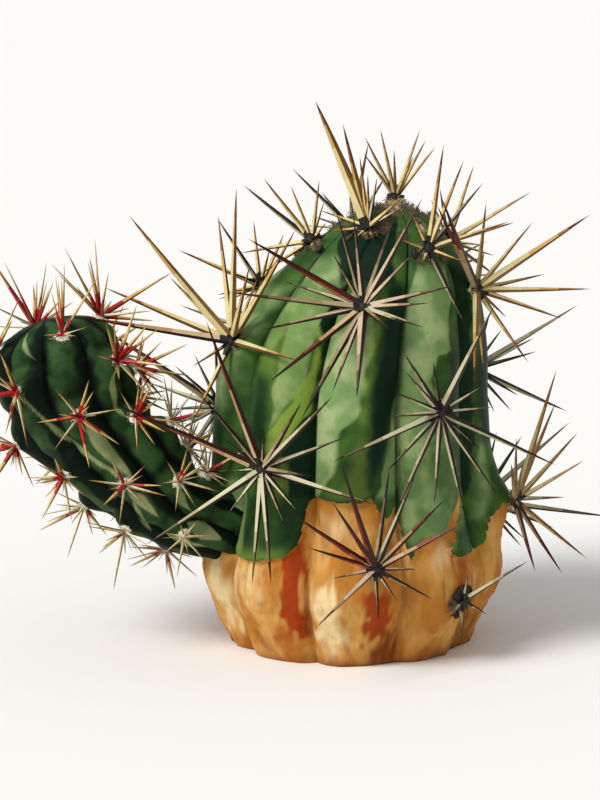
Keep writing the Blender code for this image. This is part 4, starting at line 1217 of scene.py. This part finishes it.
def side_in_light(axis, draw):
    """The way across a spine that faces the light, turned a little about its axis."""
    level = axis.cross(Vector((0.0, 1.0, 0.0)))
    if level.length < 0.1 * axis.length:
        level = axis.cross(Vector((1.0, 0.0, 0.0)))
    level.normalize()
    if level.dot(LIT_FROM) < 0.0:
        level = -level
    return (level + axis.normalized().cross(level) * draw.uniform(-0.25, 0.25)).normalized()


def make_spines(name, stars, tree, crust):
    """All the spines of these stars as one piece."""
    rows = []
    kinds = list(SPINE_KINDS)
    for star in stars:
        on_arm = "_arm_" in star.node
        draw = random.Random(star.node)
        extra = bristles(star, random.Random(star.node + "-fine")) if on_arm else []
        for number, root, tip, radius in star.spines + extra:
            axis = tip - root
            start = root - axis.normalized() * (0.5 * star.pad[0])
            light = side_in_light(axis, draw)
            long = (tip - start).length
            bend = axis.orthogonal().normalized() * long * draw.uniform(-0.02, 0.02)
            kind = spine_kind(star, number, draw)
            red = kind == "crimson"
            stout = STOUT_SPINES.get((star.node, number), 1.0) * (RED_STOUTNESS if red else STOUTNESS)
            buried = 0.0 if on_arm else draw.uniform(*BURIED) * MM
            ripeness = draw.uniform(-RIPENESS, RIPENESS)
            if red:
                ripeness = 2.0 * ripeness + RED_SHIFT
            rows.append((start, axis.normalized(), light, (radius * stout, radius * stout, long), bend,
                         kinds.index(kind), ripeness, buried))
    fields = ("axis", "light", "size", "bend", "kind", "ripeness", "buried")
    source = point_cloud(name + "_roots", rows, fields)
    return grown_by(tree, source, {"Sides": 4, "Rings": 15, "Crust": crust}, name)


# ---- wool ---------------------------------------------------------------------------------
WOOL, CRUST, OLD_WOOL = 0.0, 1.0, 2.0    # what a blob of felt is made of
CROWN_BLOBS = 34
CROWN_TURN = 2.4          # from one blob of the crown to the next, in radians
CROWN_STEP = (0.04, 0.6 * MM)            # to the neighbours that give the crown's slope
FELT_LUMPS = 900.0        # lumps of felt for each metre, and how far they push it out and in
FELT_PUSH = 1.4 * MM
FOOT_BLOBS = 22           # an old star by the ground is a patch of crust
TOP_BLOBS = 12            # a young star near the tip has felt round it
Ring = namedtuple("Ring", "count away size sunk felts")
# Blobs round the middle of a star's crust: how many, how far away and how big in mm, how far
# they are sunk in mm, and what they are made of in turn.
RINGS_ROUND_CRUST = (
    Ring(7, (0.9, 2.4), (0.45, 0.9), 0.4, (CRUST,)),
    Ring(4, (1.7, 2.9), (0.5, 0.9), 1.2, (WOOL, OLD_WOOL)),
)


def wool_tree():
    """A low lumpy cushion of felt on each point, with short curly hairs standing in it."""
    tree, inputs, output = tree_with("woolly_areoles", {
        "Hairs per square metre": 8e6, "Hair length": 1.1 * MM, "Hair thickness": 0.05 * MM, "Seed": 3,
        "Wool": None, "Crust": None, "Old wool": None})
    own = {name: add(tree, "GeometryNodeInputNamedAttribute", {"Name": name}, "Attribute",
                     data_type="FLOAT_VECTOR" if name in VECTORS else "FLOAT")
           for name in ("axis", "light", "size", "felt")}
    is_crust = add(tree, "ShaderNodeMath", {0: own["felt"], 1: CRUST, 2: 0.5}, operation="COMPARE")
    is_old = add(tree, "ShaderNodeMath", {0: own["felt"], 1: 1.5}, operation="GREATER_THAN")
    grows_hair = add(tree, "ShaderNodeMath", {0: 1.0, 1: is_crust}, operation="SUBTRACT")

    ball = add(tree, "GeometryNodeMeshIcoSphere", {"Radius": 1.0, "Subdivisions": 2}, "Mesh")
    felt = planted(tree, inputs, ball, own)
    place = add(tree, "GeometryNodeInputPosition")
    rough = add(tree, "ShaderNodeTexNoise", {"Vector": place, "Scale": FELT_LUMPS, "Detail": 2.0}, "Fac")
    push = add(tree, "ShaderNodeMath", {0: rough, 1: 0.5}, operation="SUBTRACT")
    push = add(tree, "ShaderNodeMath", {0: push, 1: FELT_PUSH}, operation="MULTIPLY")
    normal = add(tree, "GeometryNodeInputNormal")
    out = add(tree, "ShaderNodeVectorMath", {"Vector": normal, "Scale": push}, operation="SCALE")
    felt = add(tree, "GeometryNodeSetPosition", {"Geometry": felt, "Offset": out})
    felt = add(tree, "GeometryNodeSetShadeSmooth", {"Geometry": felt, "Shade Smooth": True})

    curl = add(tree, "GeometryNodeCurveSpiral", {
        "Resolution": 5, "Rotations": 0.7, "Start Radius": 0.0, "End Radius": 0.35, "Height": 1.0})
    ring = add(tree, "GeometryNodeCurvePrimitiveCircle", {"Resolution": 3, "Radius": 1.0}, mode="RADIUS")
    thin = add(tree, "ShaderNodeMath", {0: inputs["Hair thickness"], 1: inputs["Hair length"]},
               operation="DIVIDE")
    hair = add(tree, "GeometryNodeCurveToMesh", {
        "Curve": curl, "Profile Curve": ring, "Scale": thin, "Fill Caps": True})
    spots = add(tree, "GeometryNodeDistributePointsOnFaces", {
        "Mesh": felt, "Density": inputs["Hairs per square metre"], "Seed": inputs["Seed"],
        "Selection": grows_hair}, "Points")
    tilt = add(tree, "FunctionNodeRandomValue", {
        "Min": (-0.9, -0.9, -3.14), "Max": (0.9, 0.9, 3.14), "Seed": inputs["Seed"]},
        "Value", data_type="FLOAT_VECTOR")
    lay = add(tree, "FunctionNodeRotateRotation", {
        "Rotation": spots.node.outputs["Rotation"], "Rotate By": tilt}, rotation_space="LOCAL")
    # inputs 2 and 3 and output 1 of this node are its plain numbers
    grow = add(tree, "FunctionNodeRandomValue", {
        2: 0.5, 3: 1.3, "Seed": inputs["Seed"]}, 1, data_type="FLOAT")
    long = add(tree, "ShaderNodeMath", {0: grow, 1: inputs["Hair length"]}, operation="MULTIPLY")
    hairs = add(tree, "GeometryNodeInstanceOnPoints", {
        "Points": spots, "Instance": hair, "Rotation": lay, "Scale": long})
    hairs = add(tree, "GeometryNodeRealizeInstances", {"Geometry": hairs})

    for selection, finish in ((True, "Wool"), (is_crust, "Crust"), (is_old, "Old wool")):
        felt = add(tree, "GeometryNodeSetMaterial", {
            "Geometry": felt, "Selection": selection, "Material": inputs[finish]})
    for selection, finish in ((True, "Wool"), (is_old, "Old wool")):
        hairs = add(tree, "GeometryNodeSetMaterial", {
            "Geometry": hairs, "Selection": selection, "Material": inputs[finish]})
    join = add(tree, "GeometryNodeJoinGeometry", {"Geometry": felt})
    tree.links.new(hairs, join.node.inputs["Geometry"])
    tree.links.new(join, output["Geometry"])
    return tree


def crown_felt():
    """Places for the old felt that fills the furrows round the tip, between the youngest stars."""
    draw = random.Random("crown")
    rows = []
    for i in range(CROWN_BLOBS):
        azimuth = CROWN_TURN * i + draw.uniform(-0.3, 0.3)
        height = STEM_HEIGHT - (1.0 + 7.5 * (i / (CROWN_BLOBS - 1.0)) ** 1.3) * MM
        point, side, up, normal = frame_on(stem_surface, azimuth, height, *CROWN_STEP)
        wide = draw.uniform(1.4, 2.9) * MM
        size = (wide, wide * draw.uniform(0.7, 1.2), draw.uniform(0.6, 1.2) * MM)
        rows.append((point, normal, up, size, OLD_WOOL if i % 6 else WOOL))
    return rows


def foot_patch(star, draw):
    """The crust and old felt of a star by the ground."""
    point, side, up, normal = star.spot
    rows = []
    for i in range(FOOT_BLOBS):
        off = side * draw.gauss(0.0, 2.3) * MM + up * draw.gauss(0.0, 2.3) * MM
        size = (draw.uniform(0.8, 1.9) * MM, draw.uniform(0.8, 1.9) * MM, draw.uniform(0.8, 1.6) * MM)
        rows.append((point + off + normal * 0.3 * MM, normal, up, size, CRUST if i % 3 else OLD_WOOL))
    return rows


def felt_round(star, draw):
    """The felt that spreads round a young star near the tip."""
    point, side, up, normal = star.spot
    rows = []
    for i in range(TOP_BLOBS):
        off = side * draw.gauss(0.0, 2.8) * MM + up * draw.gauss(-0.8, 1.6) * MM
        size = (draw.uniform(0.9, 2.0) * MM, draw.uniform(0.8, 1.4) * MM, draw.uniform(0.7, 1.3) * MM)
        rows.append((point + off, normal, up, size, OLD_WOOL if i % 3 else CRUST))
    return rows


def crust_round(star, draw):
    """The dark crust that a star's spines stand in, with its rings of smaller blobs."""
    point, side, up, normal = star.spot
    middle = point + normal * (CLEARANCE + star.pad[1] + 0.5 * MM)
    rows = [(middle, normal, up, (1.6 * MM, 1.7 * MM, 1.2 * MM), CRUST)]
    for ring in RINGS_ROUND_CRUST:
        for i in range(ring.count):
            turn = draw.uniform(0.0, math.tau)
            off = (side * math.cos(turn) + up * math.sin(turn)) * draw.uniform(*ring.away) * MM
            size = draw.uniform(*ring.size) * MM
            rows.append((middle + off - normal * ring.sunk * MM, normal, up, (size, size, size),
                         ring.felts[i % len(ring.felts)]))
    return rows


def make_wool(name, stars, tree, finishes, wide, extra):
    """The wool of these stars as one piece, round a dark crust where the spines stand in it."""
    rows = list(extra)
    for star in stars:
        point, side, up, normal = star.spot
        radius, half = star.pad
        draw = random.Random(star.node)
        if star.node.endswith("_foot"):
            rows += foot_patch(star, draw)
            continue
        rows.append((point, normal, up, (radius * wide, radius * wide * 1.1, half * 1.1), WOOL))
        if star.node.endswith("_top"):
            rows += felt_round(star, draw)
        if star.pad is STEM_PAD:
            rows += crust_round(star, draw)
    source = point_cloud(name + "_places", rows, ("axis", "light", "size", "felt"))
    return grown_by(tree, source, finishes, name)


# ---- floor, light and camera --------------------------------------------------------------
FLOOR_HALF = 8.0          # metres
SKY_STRENGTH = 0.5
SUN_STRENGTH = 2.7
SUN_WIDTH = math.radians(22.0)           # a wide sun, so that shadows are soft
SUN_DIRECTION = (0.75, 0.6, -0.95)
CAMERA_ELEVATION = math.radians(12.0)
CAMERA_DISTANCE = 1.5
PER_PIXEL = 0.3 * MM      # size of a pixel at the plant
FRAME_HEIGHT = 800        # pixels
AIM = (-50, 236)          # pixels of the frame's middle right of the foot's middle and over it
SENSOR = 24.0


def make_stage():
    """A sheet of pale paper under the plant, an even sky and one soft sun."""
    corners = [(-FLOOR_HALF, -FLOOR_HALF, 0), (FLOOR_HALF, -FLOOR_HALF, 0),
               (FLOOR_HALF, FLOOR_HALF, 0), (-FLOOR_HALF, FLOOR_HALF, 0)]
    # uncoated paper, pressed: flat, matt and evenly pale
    paper = new_material("studio_paper", "#F4F2EE", 0.9)
    floor = new_piece("floor", corners, [(0, 1, 2, 3)], (paper,))
    world = bpy.data.worlds.new("studio")
    bpy.context.scene.world = world
    world.use_nodes = True
    shade = world.node_tree.nodes["Background"]
    shade.inputs["Color"].default_value = linear("#FFFFFF")
    shade.inputs["Strength"].default_value = SKY_STRENGTH
    key = bpy.data.lights.new("key", "SUN")
    key.energy = SUN_STRENGTH
    key.angle = SUN_WIDTH
    holder = bpy.data.objects.new("key", key)
    holder.rotation_euler = Vector(SUN_DIRECTION).to_track_quat("-Z", "Y").to_euler()
    bpy.context.scene.collection.objects.link(holder)
    bpy.context.scene.view_settings.view_transform = "Standard"


def make_camera():
    """Looks down at the plant by the viewing angle, far enough off that lines stay straight."""
    back = Vector((0.0, -math.cos(CAMERA_ELEVATION), math.sin(CAMERA_ELEVATION)))
    up = Vector((0.0, math.sin(CAMERA_ELEVATION), math.cos(CAMERA_ELEVATION)))
    aim = Vector((AIM[0] * PER_PIXEL, 0.0, 0.0)) + up * AIM[1] * PER_PIXEL
    camera = bpy.data.objects.new("camera", bpy.data.cameras.new("camera"))
    bpy.context.scene.collection.objects.link(camera)
    camera.data.sensor_fit = "VERTICAL"
    camera.data.sensor_height = SENSOR
    camera.data.lens = SENSOR * CAMERA_DISTANCE / (FRAME_HEIGHT * PER_PIXEL)
    camera.location = aim + back * CAMERA_DISTANCE
    camera.rotation_euler = (math.radians(90.0) - CAMERA_ELEVATION, 0.0, 0.0)
    bpy.context.scene.camera = camera


# ---- making -------------------------------------------------------------------------------
make_camera()
make_stage()
stars = grow_stars()
stem_stars = [star for star in stars if "_arm_" not in star.node]
arm_stars = [star for star in stars if "_arm_" in star.node]

stem_skin = make_stem_skin(stem_skin_finish())
arm_skin = make_arm_skin(arm_skin_finish())

# each kind of spine gets a lit copy of its colours for painted light and a darker copy for painted shade
bands = []
for number, (kind, sides) in enumerate(SPINE_KINDS.items()):
    for shaded, colours in enumerate(sides):
        for step, (start, colour) in enumerate(zip(BAND_STARTS, colours)):
            finish = woody_spine(f"{kind}_{'shade' if shaded else 'lit'}_{step}", colour)
            bands.append((number, bool(shaded), start, finish))
spines = spine_tree(bands)
# dry crust, grown: dark, hard and dull where the spines stand in it
crust_finish = new_material("dark_areole_crust", "#17100C", 0.7)
stem_spines = make_spines("stem_spines", stem_stars, spines, crust_finish)
arm_spines = make_spines("arm_spines", arm_stars, spines, crust_finish)

# wool, grown and felted by rain: soft and matt with a faint pale rim; cream on the stem, white on
# the arm, and dirty where it is old
felt = wool_tree()
old_felts = {
    "Crust": crust_finish,
    "Old wool": new_material("dirty_felt_olive", "#57452A", 0.95, Sheen_Weight=0.2),
}
stem_felts = {
    "Wool": new_material("felted_wool_cream", "#B7A272", 0.95, Sheen_Weight=0.3),
    "Hairs per square metre": 1.9e6, "Hair length": 1.2 * MM, "Hair thickness": 0.08 * MM,
}
arm_felts = {
    "Wool": new_material("felted_wool_white", "#F4EED8", 0.95, Sheen_Weight=0.3),
    "Hair length": 0.7 * MM,
}
stem_wool = make_wool("stem_wool", stem_stars, felt, stem_felts | old_felts, 1.05, crown_felt())
arm_wool = make_wool("arm_wool", arm_stars, felt, arm_felts | old_felts, 1.25, [])

for piece in (stem_skin, arm_skin, stem_spines, arm_spines, stem_wool, arm_wool):
    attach(piece, "root")
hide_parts("main_stem")
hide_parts("arm_lower", "arm_upper")
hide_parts(*[star.node for star in stem_stars])
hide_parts(*[star.node for star in arm_stars])
